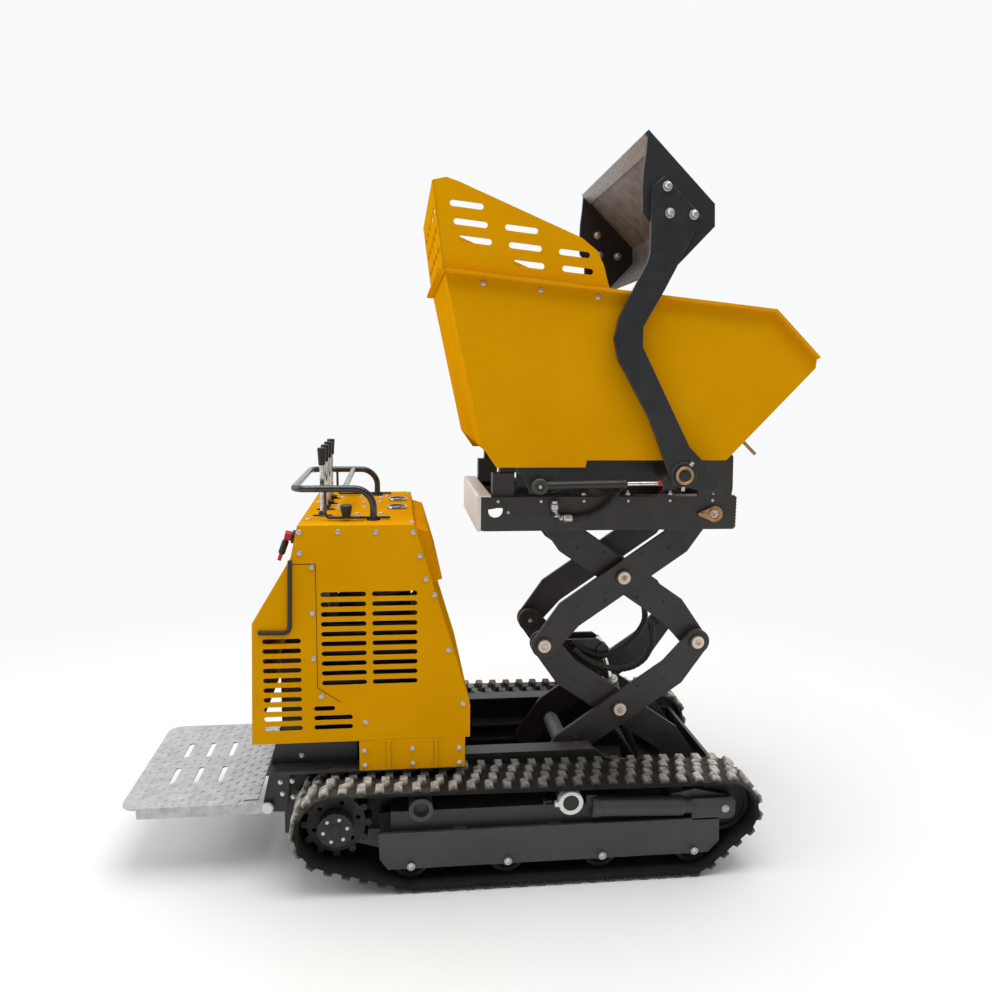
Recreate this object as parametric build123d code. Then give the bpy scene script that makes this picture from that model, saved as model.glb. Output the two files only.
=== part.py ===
from build123d import *
import math
import os

# Tracked power wheelbarrow: rubber tracks, engine console, two-stage scissor lift, a deck,
# a tipping skip and a self-loading bucket on two arms. Millimetres. X runs forward (the way
# the skip tips), Y to the machine's left, Z up from the ground under the track lugs.

# ---- driving dimensions -------------------------------------------------------------------
platform_rear_x = -1043.0      # rearmost edge of the operator's platform
skip_front_x = 1043.0          # lip of the skip
track_outer = 450.0            # half of the width over the tracks
track_width = 180.0            # rubber belt width
belt_thickness = 12.0
lug_height = 14.0
lug_pitch = 54.0
sprocket_x, sprocket_z, sprocket_belt_r = -392.0, 205.0, 120.0
idler_x, idler_z, idler_belt_r = 814.0, 212.0, 100.0
roller_first_x, roller_pitch, roller_count = -168.0, 294.0, 4
roller_z, roller_belt_r = 82.0, 68.0

rail_inner, rail_outer = 200.0, 262.0     # chassis side rails, measured from the middle
floor_z = 112.0
tie_y, tie_z, tie_r = 150.0, 215.0, 13.0  # tie-down holes in the front plate
engine_deck_z = 352.0
console_half = 366.0
console_sheet = 4.0
console_rear_x, console_front_x = -635.0, 13.0
console_bottom_z, console_top_z = 455.0, 1113.0

pivot_x, base_z = 793.0, 222.0            # fixed lower pivot of the scissor lift
half_run, half_rise = 260.0, 225.0        # half an arm's run and rise when the lift is up
inner_face, arm_thickness, outer_face = 128.0, 14.0, 158.0
arm_end_r, arm_half, arm_bulge = 42.0, 50.0, 24.0
pin_r = 20.0

deck_rear_x, deck_front_x = 52.0, 867.0
deck_half, deck_plate = 262.0, 12.0
deck_bottom_z, deck_top_z = 1072.0, 1178.0
tip_x, tip_z = 800.0, 1262.0              # hinge on which the skip tips

skip_half, skip_sheet, rim_out = 388.0, 5.0, 22.0
loader_x, loader_z = 631.0, 1264.0        # hinge of the loader arms
loader_in, loader_out = 418.0, 430.0
ram_y = 403.0                             # centre plane of a loader ram
ram_rear_x, ram_rear_z = 206.0, 1231.0
ram_front_x, ram_front_z = 587.0, 1238.0

platform_half = 309.0
platform_pin_x, platform_pin_z = -603.0, 224.0

# ---- derived places -----------------------------------------------------------------------
centre_x = pivot_x - half_run
rear_x = pivot_x - 2 * half_run
level = [base_z + n * half_rise for n in range(5)]
track_inner = track_outer - track_width
roller_xs = [roller_first_x + n * roller_pitch for n in range(roller_count)]
arm_length = 2 * math.hypot(half_run, half_rise)
arm_slope = math.degrees(math.atan2(half_rise, half_run))
outer_out = outer_face + arm_thickness
inner_out = inner_face + arm_thickness


# ---- shape helpers ------------------------------------------------------------------------
def outline(points, radius=0.0):
    """Closed face from (x, z) points, its corners rounded when a radius is given."""
    face = make_face(Polyline(*points, close=True))
    return fillet(face.vertices(), radius) if radius else face


def slab(face, y0, y1):
    """A face drawn in X and Z, made solid between two Y planes."""
    return extrude(Plane.XZ.offset(-y1) * face, y1 - y0)


def cheek(points, y0, y1, radius=0.0):
    return slab(outline(points, radius), y0, y1)


def bar(x, z, r, y0, y1):
    """Round bar along Y."""
    return slab(Pos(x, z) * Circle(r), y0, y1)


def block(x0, x1, y0, y1, z0, z1):
    return Pos((x0 + x1) / 2, (y0 + y1) / 2, (z0 + z1) / 2) * Box(x1 - x0, y1 - y0, z1 - z0)


def rod(start, end, r):
    """Round bar between two points."""
    a, b = Vector(*start), Vector(*end)
    bottom = (Align.CENTER, Align.CENTER, Align.MIN)
    return Plane(origin=a, z_dir=b - a) * Cylinder(r, (b - a).length, align=bottom)


def sheet(points, t, y0, y1):
    """Bent sheet: the (x, z) line is one face, the other lies t to its right-hand side."""
    normals = []
    for (x0, z0), (x1, z1) in zip(points, points[1:]):
        run = math.hypot(x1 - x0, z1 - z0)
        normals.append(((z1 - z0) / run, (x0 - x1) / run))
    back = []
    for n, (x, z) in enumerate(points):
        a, b = normals[max(n - 1, 0)], normals[min(n, len(normals) - 1)]
        k = t / (1 + a[0] * b[0] + a[1] * b[1])
        back.append((x + k * (a[0] + b[0]), z + k * (a[1] + b[1])))
    return cheek(list(points) + back[::-1], y0, y1)


def pipe(points, radii, r):
    """Round tube centre line of straight runs and tangent arcs, swept with a circle."""
    path = FilletPolyline(*points, radius=radii) if radii else Polyline(*points)
    start = Plane(origin=path @ 0, z_dir=path % 0)
    return sweep(start * Circle(r), path=path)


def both(shape):
    """A shape on the left and its mirror image on the right."""
    return shape + mirror(shape, Plane.XZ)


def joined(first, *others):
    for shape in others:
        first = first + shape
    return first


def slots(columns, width):
    """Faces of rounded slots from (x0, x1, z) rows."""
    faces = [
        Pos((x0 + x1) / 2, z) * SlotOverall(x1 - x0, width) for x0, x1, z in columns
    ]
    return faces


nodes = {}


def keep_sided(name, shape):
    """Store a left-hand shape and its mirror image as two sub-parts."""
    nodes[name + "_left"] = shape
    nodes[name + "_right"] = mirror(shape, Plane.XZ)


# ---- tracks -------------------------------------------------------------------------------
def loop(shrink):
    """Convex belt line round sprocket, idler, first and last roller."""
    wheels = [
        (sprocket_x, sprocket_z, sprocket_belt_r),
        (idler_x, idler_z, idler_belt_r),
        (roller_xs[0], roller_z, roller_belt_r),
        (roller_xs[-1], roller_z, roller_belt_r),
    ]
    rings = [(Pos(x, z) * Circle(r - shrink)).edge() for x, z, r in wheels]
    return make_hull(rings)


belt_face = loop(0) - loop(belt_thickness)
track = slab(belt_face, track_inner, track_outer)
line = loop(0).face().outer_wire()
lug_total = 2 * round(line.length / lug_pitch / 2)
lug_side = track_width / 2 - 6
lugs = []
for n in range(lug_total * 2):
    # two rows of lugs, staggered by half a pitch
    row = n % 2
    at = line.position_at(n / (2 * lug_total))
    way = line.tangent_at(n / (2 * lug_total))
    out = Vector(way.Y, -way.X)
    if out.dot(at - Vector(200, 180)) < 0:
        out = out * -1
    c = at + out * (lug_height / 2 - 1)
    turn = math.degrees(math.atan2(way.Y, way.X))
    face = Pos(c.X, c.Y) * Rot(0, 0, turn) * Rectangle(25, lug_height + 2)
    y0 = track_inner + 3 + row * (lug_side + 6)
    lugs.append(slab(face, y0, y0 + lug_side))
track = track.fuse(*lugs)
track = track & block(-2000, 2000, 0, 2000, 0, 2000)
keep_sided("track", track)

wheel_in, wheel_out = track_inner + 48, track_outer - 56     # wheel faces inside the belt


def toothed_wheel():
    y0, y1 = wheel_in + 10, wheel_out - 6
    wheel = bar(sprocket_x, sprocket_z, sprocket_belt_r - 32, y0, y1)
    reach = sprocket_belt_r - belt_thickness - 13
    for n in range(12):
        a = math.radians(30 * n)
        tooth = bar(sprocket_x + reach * math.cos(a), sprocket_z + reach * math.sin(a), 11, y0, y1)
        wheel = wheel + tooth
    hub = bar(sprocket_x, sprocket_z, 52, y1, track_outer - 20)
    wheel = wheel + hub
    for n in range(6):
        a = math.radians(60 * n + 15)
        wheel -= bar(sprocket_x + 68 * math.cos(a), sprocket_z + 68 * math.sin(a), 7, y0 - 1, y1 + 1)
    return wheel


def plain_wheel(x, z, r, bore, y0, y1):
    """Wheel with two rims, a waist between them and a bore."""
    wheel = bar(x, z, r, y0, y1)
    wheel -= bar(x, z, r + 1, y0 + 26, y1 - 26) - bar(x, z, r - 12, y0 + 26, y1 - 26)
    for a, b in ((y0 - 1, y0 + 10), (y1 - 10, y1 + 1)):
        wheel -= bar(x, z, r - 12, a, b) - bar(x, z, bore + 12, a, b)
    return wheel - bar(x, z, bore, y0 - 1, y1 + 1)


keep_sided("drive_sprocket", toothed_wheel())
idler_pin_r, roller_pin_r = 16.0, 14.0
keep_sided("idler", plain_wheel(idler_x, idler_z, idler_belt_r - belt_thickness - 1,
                                idler_pin_r + 0.6, wheel_in, wheel_out))
for n, x in enumerate(roller_xs):
    wheel = plain_wheel(x, roller_z, roller_belt_r - belt_thickness - 1, roller_pin_r + 0.6,
                        wheel_in, wheel_out + 8)
    keep_sided(f"road_roller_{n + 1}", wheel)


# Track frame: beam, guard plates carrying the roller pins, axle tubes and the idler fork.
def track_frame():
    guard_z = base_z - 36
    guard_points = [
        (roller_xs[0] - 98, guard_z), (idler_x - 22, guard_z), (idler_x - 18, roller_z + 27),
        (roller_xs[-1] + 47, roller_z - 11), (roller_xs[0] - 69, roller_z - 11),
        (roller_xs[0] - 93, roller_z + 23),
    ]
    guard_out = track_outer - 20
    guard_in = track_inner + 20
    plates = cheek(guard_points, guard_out - 12, guard_out, 6)
    plates += cheek(guard_points, guard_in, guard_in + 12, 6)
    body = block(roller_xs[0] - 60, idler_x - 100, wheel_in, wheel_out + 6, 150, 240)
    for n in range(3):
        x = (roller_xs[n] + roller_xs[n + 1]) / 2
        body += block(x - 20, x + 20, guard_in + 6, guard_out - 6, 152, 182)
    body = body + plates
    for x in roller_xs:
        body += bar(x, roller_z, roller_pin_r, guard_in + 6, guard_out - 6)
        body += extrude(Plane.XZ.offset(-(guard_out + 8)) * Pos(x, roller_z) * RegularPolygon(13, 6), 9)
    for x in (roller_xs[0] + 30, 317.0):
        tube = bar(x, 262, 36, rail_outer, track_outer - 10) - bar(x, 262, 24, track_outer - 30, track_outer)
        body += tube
    # tension ram and the fork that holds the idler
    body += rod((380, wheel_out + 16, 258), (660, wheel_out + 16, 241), 12)
    body += block(370, 400, wheel_out, wheel_out + 26, 236, 274)
    fork = [(640, 262), (716, 275), (idler_x + 30, 245), (idler_x + 30, 184), (716, 184), (640, 222)]
    body += cheek(fork, wheel_out + 6, wheel_out + 18, 5)
    body += cheek(fork, wheel_in - 18, wheel_in - 6, 5)
    body += block(640, 690, wheel_in - 18, wheel_out + 18, 224, 258)
    body += bar(idler_x, idler_z, idler_pin_r, wheel_in - 18, wheel_out + 26)
    return body


keep_sided("track_frame", track_frame())


# ---- chassis ------------------------------------------------------------------------------
floor = block(-560, pivot_x + 47, -rail_inner, rail_inner, floor_z, floor_z + 12)
floor += block(-560, -540, -rail_inner, rail_inner, floor_z, engine_deck_z - 2)
floor += block(pivot_x + 51, pivot_x + 63, -rail_outer, rail_outer, floor_z, base_z + 48)
floor += block(pivot_x + 40, pivot_x + 52, -rail_inner, rail_inner, floor_z, floor_z + 60)
for y in (-tie_y, tie_y):
    floor -= Pos(pivot_x + 57, y, tie_z) * Rot(0, 90, 0) * Cylinder(tie_r, 30)
for y in (30, -44):
    # lugs for the lift ram's foot
    foot = cheek([(590, floor_z + 6), (676, floor_z + 6), (660, 190), (606, 190)], y, y + 14, 4)
    floor += foot
floor += bar(pivot_x - 160, 170, 13.4, -44, 44)
nodes["chassis_floor"] = floor


def rail():
    points = [
        (-560, floor_z), (pivot_x + 50, floor_z), (pivot_x + 50, base_z + 48), (470, 318),
        (431, engine_deck_z - 1), (-560, engine_deck_z - 1),
    ]
    body = cheek(points, rail_outer - 12, rail_outer, 4)
    body += block(-560, 425, rail_inner, rail_outer - 6, engine_deck_z - 9, engine_deck_z - 1)
    body += block(-560, pivot_x + 50, rail_inner + 0.5, rail_outer - 6, floor_z, floor_z + 10)
    # channel in which the lower rollers of the lift run, and the boss of its fixed pivot
    for z in (level[0] - 32, level[0] + 24):
        body += block(70, rear_x + 60, outer_out + 14, rail_outer - 6, z, z + 8)
    body += bar(pivot_x, base_z, 36, outer_out + 6, rail_outer - 6)
    body += bar(pivot_x, base_z, pin_r, inner_face - 6, outer_out + 8)
    # fixed housing of the track motor, on which the sprocket turns
    body += bar(sprocket_x, sprocket_z, 58, rail_outer - 6, wheel_in - 14)
    body += bar(sprocket_x, sprocket_z, 44, rail_outer - 6, wheel_in + 8)
    return body


keep_sided("chassis_rail", rail())

bracket = [
    (-574, 440), (-603, 224), (-606, 206), (-548, 202), (-534, 330), (-500, 356), (-330, 356),
    (-330, 440),
]
bracket[1] = (platform_pin_x - 18, platform_pin_z + 4)
bracket[2] = (platform_pin_x - 14, platform_pin_z - 18)
deck_plate_low = block(-598, console_front_x - 12, -console_half + 8, console_half - 8,
                       engine_deck_z, engine_deck_z + 8)
engine_deck = deck_plate_low
engine_deck += both(cheek(bracket, platform_half - 25, platform_half - 13, 5))
engine_deck += block(-574, -566, -platform_half + 14, platform_half - 14, engine_deck_z, 440)
engine_deck += both(bar(platform_pin_x, platform_pin_z, 9, platform_half - 14, platform_half + 4))
for side in (1, -1):
    # skirt boxes that hide the edge of the engine floor
    skirt = block(-321, -2, side * (console_half - 44) - 44, side * (console_half - 44) + 44,
                  engine_deck_z + 8, console_bottom_z)
    skirt -= block(-317, -6, side * (console_half - 48) - 44, side * (console_half - 48) + 44,
                   engine_deck_z + 8, console_bottom_z)
    for x in (-233, -90):
        skirt += block(x - 4, x + 4, side * console_half - 5, side * console_half + 5,
                       engine_deck_z + 12, console_bottom_z - 6)
    engine_deck += skirt
nodes["engine_deck"] = engine_deck

# ---- console ------------------------------------------------------------------------------
shoulder_x, shoulder_z = -513.0, 1013.0
console_line = [
    (console_rear_x, console_bottom_z), (console_rear_x + 9, 825), (shoulder_x, shoulder_z),
    (shoulder_x + 22, console_top_z), (-155, console_top_z), (console_front_x, 559),
    (console_front_x, console_bottom_z),
]
hood = sheet(console_line, console_sheet, -console_half + console_sheet, console_half - console_sheet)
hood += cheek([(-150, 1093), (-112, 1080), (-68, 934), (-100, 926)], -300, 300, 5)
lever_ys = [-188.0, -63.0, 63.0, 188.0]
lever_x, lever_z = -433.0, 1084.0
throttle_x, throttle_y, throttle_z = -355.0, -290.0, 1044.0
pull_places = [(-425.0, 128.0), (-425.0, 0.0)]
for y in lever_ys:
    hood -= Pos(lever_x, y, console_top_z) * Box(52, 20, 30)
hood -= Pos(throttle_x, throttle_y, console_top_z) * Box(104, 12, 30)
for x, y in pull_places:
    hood -= Pos(x, y, console_top_z) * Cylinder(5, 30)
nodes["console_hood"] = hood

upper_rows = [(x0, x1, 908 - 29.9 * n) for n in range(10) for x0, x1 in ((-428, -296), (-279, -146))]
rear_rows = [(-598, -487, 770 - 29.8 * n) for n in range(10)]
low_rows = [(-453, -391, 560), (-453, -339, 531), (-453, -339, 502)]
side_face = outline(console_line)
for face in slots(upper_rows + rear_rows + low_rows, 15):
    side_face -= face
panel = slab(side_face, console_half - console_sheet, console_half)
keep_sided("console_panel", panel)

# Engine with its cowl, tank and the bank of control valves, standing on the engine floor.
pack_z = engine_deck_z + 8
power = block(-560, -60, -250, 250, pack_z, pack_z + 30)
power += block(-430, -130, -170, 190, pack_z + 30, 760)
power += Pos(-280, 0, 760) * Cylinder(120, 80, align=(Align.CENTER, Align.CENTER, Align.MIN))
for z in range(430, 740, 24):
    power += block(-445, -115, -190, 210, z, z + 6)
power += block(-560, -460, -270, 270, pack_z + 20, 700)
power += block(-480, -450, -230, 230, 690, 1040)
power += block(-480, -380, -230, 230, 1030, 1066)
power += block(-110, -60, -260, 260, pack_z + 20, 560)
nodes["power_pack"] = power

bar_half, bar_z = 272.0, 1208.0
loop_points = [
    (-275, bar_half, console_top_z), (-275, bar_half, bar_z), (-511, bar_half, bar_z),
    (-511, -bar_half, bar_z), (-275, -bar_half, bar_z), (-275, -bar_half, console_top_z),
]
handlebar = pipe(loop_points, [58, 34, 34, 58], 10.5)
handlebar += rod((-360, -bar_half, bar_z), (-360, bar_half, bar_z), 9)
guard_rod = pipe([(-418, bar_half, bar_z), (-418, bar_half, console_top_z + 8),
                  (-225, bar_half, console_top_z + 8)], [14], 4.5)
handlebar += both(guard_rod)
nodes["handlebar"] = handlebar

for name, x, y in (("gauge_left", -201, 143), ("gauge_right", -205, -41)):
    dial = Pos(x, y, console_top_z) * Cylinder(30, 9, align=(Align.CENTER, Align.CENTER, Align.MIN))
    dial -= Pos(x, y, console_top_z + 6) * Cylinder(25, 9, align=(Align.CENTER, Align.CENTER, Align.MIN))
    nodes[name] = dial

for n, y in enumerate(lever_ys):
    lever = rod((lever_x, y, lever_z), (lever_x, y, 1290), 7)
    lever += Pos(lever_x, y, lever_z) * Sphere(12) + bar(lever_x, lever_z, 6, y - 15, y + 15)
    knob = Pos(lever_x, y, 1280) * Cone(8.5, 12, 42, align=(Align.CENTER, Align.CENTER, Align.MIN))
    nodes[f"lever_{n + 1}"] = lever + knob

throttle = rod((throttle_x, throttle_y, throttle_z), (throttle_x, throttle_y, 1134), 4)
throttle += Pos(throttle_x, throttle_y, throttle_z) * Sphere(9)
throttle += bar(throttle_x, throttle_z, 4, throttle_y - 12, throttle_y + 12)
throttle += Pos(throttle_x, throttle_y, 1126) * Cone(11, 17, 36, align=(Align.CENTER, Align.CENTER, Align.MIN))
nodes["throttle"] = throttle

for name, (x, y) in zip(("choke_handle", "stop_handle"), pull_places):
    handle = rod((x, y, 1072), (x, y, 1124), 4)
    handle += rod((x - 14, y, 1128), (x + 14, y, 1128), 7)
    nodes[name] = handle

# Battery isolator on the rear shoulder of the console, with its turning key.
iso_y = -200.0
rise = Vector(console_top_z - shoulder_z, 0, -22).normalized()
iso_out = Vector(-rise.X, 0, -rise.Z)
iso_at = Vector(shoulder_x + 7.3, iso_y, shoulder_z + 34)
nodes["isolator_body"] = rod(tuple(iso_at), tuple(iso_at + iso_out * 20), 21)
key = rod(tuple(iso_at + iso_out * 21), tuple(iso_at + iso_out * 42), 15)
key += rod(tuple(iso_at + iso_out * 34), tuple(iso_at + iso_out * 40 + Vector(-22, 0, -78)), 6)
nodes["isolator_key"] = key

# ---- operator's platform ------------------------------------------------------------------
plate_z = 240.0
plate = block(platform_rear_x, platform_pin_x - 34, -platform_half, platform_half, plate_z - 5, plate_z)
plate = fillet(plate.edges().filter_by(Axis.Z).group_by(Axis.X)[0], 45)
for x in (-930.0, -856.0, -780.0):
    for y0 in (95.0, -95.0):
        plate -= Pos(x, y0, plate_z) * Rot(0, 0, 90) * extrude(SlotOverall(112, 17), 20, both=True)
# notches that let the plate fold up past the brackets
plate -= both(block(platform_pin_x - 75, platform_pin_x - 27, platform_half - 29, platform_half - 11.5,
                    plate_z - 10, plate_z + 5))
plate += both(block(platform_rear_x + 50, platform_pin_x - 34, platform_half - 11, platform_half,
                    plate_z - 34, plate_z - 5))
ear = [(platform_pin_x - 60, plate_z - 34), (platform_pin_x + 4, platform_pin_z - 14),
       (platform_pin_x + 14, platform_pin_z), (platform_pin_x + 4, platform_pin_z + 14),
       (platform_pin_x - 60, plate_z - 1)]
ears = cheek(ear, platform_half - 11, platform_half, 3)
plate += both(ears - bar(platform_pin_x, platform_pin_z, 9.5, 0, 500))
nodes["platform"] = plate


# ---- scissor lift -------------------------------------------------------------------------
def arm_face(low_x, low_z, lean):
    """Face of one cranked lift arm from its lower pin; lean is +1 forward, -1 rearward."""
    half = arm_length / 2
    a = math.radians(arm_slope)
    along, over = (lean * math.cos(a), math.sin(a)), (-lean * math.sin(a), math.cos(a))
    mid = (low_x + lean * half_run, low_z + half_rise)

    def spot(u, v):
        return (mid[0] + u * along[0] + v * over[0], mid[1] + u * along[1] + v * over[1])

    kink = half * 0.625
    points = [
        spot(-half, arm_end_r * 0.995), spot(-kink, arm_half + arm_bulge),
        spot(kink, arm_half - arm_bulge), spot(half, arm_end_r * 0.995),
        spot(half, -arm_end_r * 0.995), spot(kink, -arm_half - arm_bulge),
        spot(-kink, arm_bulge - arm_half), spot(-half, -arm_end_r * 0.995),
    ]
    face = outline(points)
    for end in (-half, half):
        x, z = spot(end, 0)
        face += Pos(x, z) * Circle(arm_end_r)
    return face


def along_arm(low_x, low_z, lean, u):
    """Point on an arm's pin line, u from its lower pin."""
    a = math.radians(arm_slope)
    return low_x + lean * u * math.cos(a), low_z + u * math.sin(a)


def headed_pin(x, z, y0, y1):
    """Stub pin along Y with a disc head on its outer end."""
    return bar(x, z, pin_r, y0, y1) + bar(x, z, pin_r + 7, y1, y1 + 7)


hole_r = pin_r + 0.6
tube_in, tube_r = 20.0, 20.0

# lower inner arms: fixed pivot at the front, carry the ram's lever and the two stub pins
face = arm_face(pivot_x, level[0], -1) - Pos(pivot_x, level[0]) * Circle(hole_r)
arm = slab(face, inner_face, inner_out)
for x, z in ((centre_x, level[1]), (rear_x, level[2])):
    arm += bar(x, z, 32, inner_out - 1, outer_face - 1)
    arm += headed_pin(x, z, inner_out - 1, outer_out + 1)
lower_inner = both(arm)
x, z = along_arm(pivot_x, level[0], -1, 100)
lower_inner += bar(x, z, tube_r, -inner_face - 2, inner_face + 2)
lever_pin = (centre_x - 34, level[1] + 168)
lever_tube = (368.0, 574.0)
lower_inner += bar(*lever_tube, 26, -inner_face - 2, inner_face + 2)
lug = [(345, 650), (484, 650), (lever_pin[0] + 26, lever_pin[1] + 4),
       (lever_pin[0] + 16, lever_pin[1] - 32), (430, 545), (378, 545), (340, 600)]
lower_inner += both(cheek(lug, 34, 46, 8))
lower_inner += both(bar(*lever_pin, 20, 46, 54))
nodes["lower_inner_arms"] = lower_inner

# lower outer arms: rollers at the back, open pin holes in the middle and at the front
face = arm_face(rear_x, level[0], 1)
for x, z in ((centre_x, level[1]), (pivot_x, level[2])):
    face -= Pos(x, z) * Circle(hole_r)
arm = slab(face, outer_face, outer_out)
arm += bar(rear_x, level[0], tube_in + 2, outer_out - 1, rail_inner - 1)
lower_outer = both(arm)
x, z = along_arm(rear_x, level[0], 1, 110)
lower_outer += bar(x, z, tube_r, -outer_face - 2, outer_face + 2)
nodes["lower_outer_arms"] = lower_outer

# upper outer arms: hang between the lower arms' rear pins and the deck's front pivot
face = arm_face(rear_x, level[2], 1)
for x, z in ((rear_x, level[2]), (centre_x, level[3]), (pivot_x, level[4])):
    face -= Pos(x, z) * Circle(hole_r)
upper_outer = both(slab(face, outer_face, outer_out))
x, z = along_arm(rear_x, level[2], 1, arm_length - 110)
upper_outer += bar(x, z, tube_r, -outer_face - 2, outer_face + 2)
nodes["upper_outer_arms"] = upper_outer

# upper inner arms: pins in the middle and at the front, rollers in the deck at the back
arm = slab(arm_face(pivot_x, level[2], -1), inner_face, inner_out)
for x, z in ((centre_x, level[3]), (pivot_x, level[2])):
    arm += bar(x, z, 32, inner_out - 1, outer_face - 1)
    arm += headed_pin(x, z, inner_out - 1, outer_out + 1)
arm += bar(rear_x, level[4], tube_in + 2, inner_out - 1, rail_inner - 1)
upper_inner = both(arm)
x, z = along_arm(pivot_x, level[2], -1, 100)
upper_inner += bar(x, z, tube_r, -inner_face - 2, inner_face + 2)
nodes["upper_inner_arms"] = upper_inner


def ram(foot, eye, y, body_r, rod_r, hub_r, pin_bore, width, body_share, drawn_in=13.0, eye_r=None):
    """Barrel and rod of a ram from its foot pin to its eye, both in the plane y.

    drawn_in is the room left behind the rod for the stroke by which the ram can shorten.
    """
    a, b = Vector(foot[0], y, foot[1]), Vector(eye[0], y, eye[1])
    way = (b - a).normalized()
    length = (b - a).length
    end = a + way * (length * body_share)
    barrel = bar(foot[0], foot[1], hub_r, y - width / 2, y + width / 2)
    barrel += rod(tuple(a + way * (hub_r * 0.8)), tuple(end), body_r)
    barrel -= bar(foot[0], foot[1], pin_bore, y - width, y + width)
    barrel -= rod(tuple(a + way * (hub_r + 12)), tuple(end + way * 9), rod_r + 0.5)
    piston = rod(tuple(a + way * (hub_r + 17 + drawn_in)), tuple(b), rod_r)
    piston += bar(eye[0], eye[1], eye_r or hub_r * 0.85, y - width / 2, y + width / 2)
    return barrel, piston


ram_foot = (pivot_x - 160, base_z - 52)
barrel, piston = ram(ram_foot, lever_pin, 0, 30, 16, 26, 14, 56, 0.72, drawn_in=88)
nodes["lift_barrel"], nodes["lift_rod"] = barrel, piston

# ---- deck ---------------------------------------------------------------------------------
side_points = [(deck_rear_x, deck_bottom_z), (deck_front_x, deck_bottom_z),
               (deck_front_x, deck_top_z), (deck_rear_x, deck_top_z)]
plate_in = deck_half - deck_plate
handle = (Pos(97, 1136) * Circle(23)) & (Pos(97, 1128) * Rectangle(60, 33))
side = slab(outline(side_points, 10) - handle, plate_in, deck_half)
ear_points = [(tip_x - 59, deck_top_z - 20), (tip_x + 46, deck_top_z - 20), (tip_x + 53, deck_top_z + 24),
              (tip_x + 50, tip_z + 44), (tip_x + 30, tip_z + 58), (tip_x - 30, tip_z + 50),
              (tip_x - 59, tip_z + 10)]
side += cheek(ear_points, plate_in, deck_half, 8)
side += bar(tip_x, tip_z, 15, 218, plate_in + 2)
side += bar(tip_x, tip_z, 26, plate_in - 4, plate_in + 2)
side += block(deck_rear_x + 12, deck_front_x - 8, rail_inner + 5, plate_in + 2, deck_top_z - 8, deck_top_z)
side += block(deck_rear_x + 12, deck_front_x - 8, rail_inner + 5, plate_in + 2, deck_bottom_z, deck_bottom_z + 8)
for z in (level[4] - 32, level[4] + 24):
    side += block(70, rear_x + 60, outer_out + 14, plate_in + 2, z, z + 8)
side += bar(pivot_x, level[4], 36, outer_out + 6, plate_in + 2)
side += bar(pivot_x, level[4], pin_r, inner_out + 8, outer_out + 8)
side += bar(pivot_x, level[4], 27, deck_half - 1, deck_half + 6)
teardrop = [(pivot_x - 52, level[4] + 12), (pivot_x - 8, level[4] + 26), (pivot_x - 8, level[4] - 26)]
side += cheek(teardrop, deck_half - 1, deck_half + 3, 5)
side += block(deck_rear_x + 36, deck_rear_x + 104, rail_inner + 6, plate_in, deck_top_z - 1, 1251)
deck = both(side)
deck += block(deck_front_x - 12, deck_front_x, -plate_in - 2, plate_in + 2, deck_bottom_z, deck_top_z)
deck += block(deck_rear_x, deck_rear_x + 12, -plate_in - 2, plate_in + 2, deck_bottom_z, deck_top_z)
deck += block(430, 470, -plate_in - 2, plate_in + 2, deck_top_z - 36, deck_top_z - 8)
tip_foot = (deck_rear_x + 63, 1130.0)
deck += both(cheek([(deck_rear_x + 8, 1100), (tip_foot[0] + 8, 1108), (tip_foot[0] + 26, 1130),
                    (tip_foot[0] + 8, 1152), (deck_rear_x + 8, 1164)], 26, 38, 6))
deck += bar(*tip_foot, 11.4, -30, 30)
nodes["deck"] = deck

bumper = block(deck_rear_x - 12, deck_rear_x - 0.5, -deck_half, deck_half, deck_bottom_z, deck_top_z + 6)
bumper += block(deck_rear_x - 12, deck_rear_x + 30, -deck_half, deck_half, deck_top_z + 0.5, deck_top_z + 6)
nodes["deck_bumper"] = fillet(bumper.edges().filter_by(Axis.Y).sort_by(lambda e: e.center().X - e.center().Z)[0], 8)

# ---- skip ---------------------------------------------------------------------------------
floor_skip_z = 1304.0
rim_rear, rim_front = (-69.0, 1841.0), (901.0, 1749.0)
skip_line = [rim_rear, (38, 1347), (83, floor_skip_z), (704, floor_skip_z), (1035, 1589),
             (skip_front_x, 1613)]
side_line = [rim_rear, (38, 1347), (83, 1283), (347, 1283), (350, floor_skip_z),
             (776, floor_skip_z), (1040, 1580), (skip_front_x, 1613), rim_front]
skip_in = skip_half - skip_sheet
tub = sheet(skip_line[::-1], skip_sheet, -skip_in - 1, skip_in + 1)
tub += both(cheek(side_line, skip_in, skip_half))
slope = (rim_front[1] - rim_rear[1]) / (rim_front[0] - rim_rear[0])
rim = [rim_rear, rim_front, (rim_front[0], rim_front[1] - 9), (rim_rear[0] + 2, rim_rear[1] - 9)]
front_rim = [rim_front, (skip_front_x, 1613), (skip_front_x - 6.2, 1606.5),
             (rim_front[0] - 6.2, rim_front[1] - 6.5)]
tub += both(cheek(rim, skip_half - 1, skip_half + rim_out))
tub += both(cheek(front_rim, skip_half - 1, skip_half + rim_out))
tub += sheet([(rim_rear[0] - 21, rim_rear[1] - 1), (rim_rear[0] + 1, rim_rear[1] - 3)], 7,
             -skip_half - rim_out, skip_half + rim_out)
nodes["skip_tub"] = tub


def on_rim(x):
    return x, rim_rear[1] + 0.2 + slope * (x - rim_rear[0])


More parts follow.
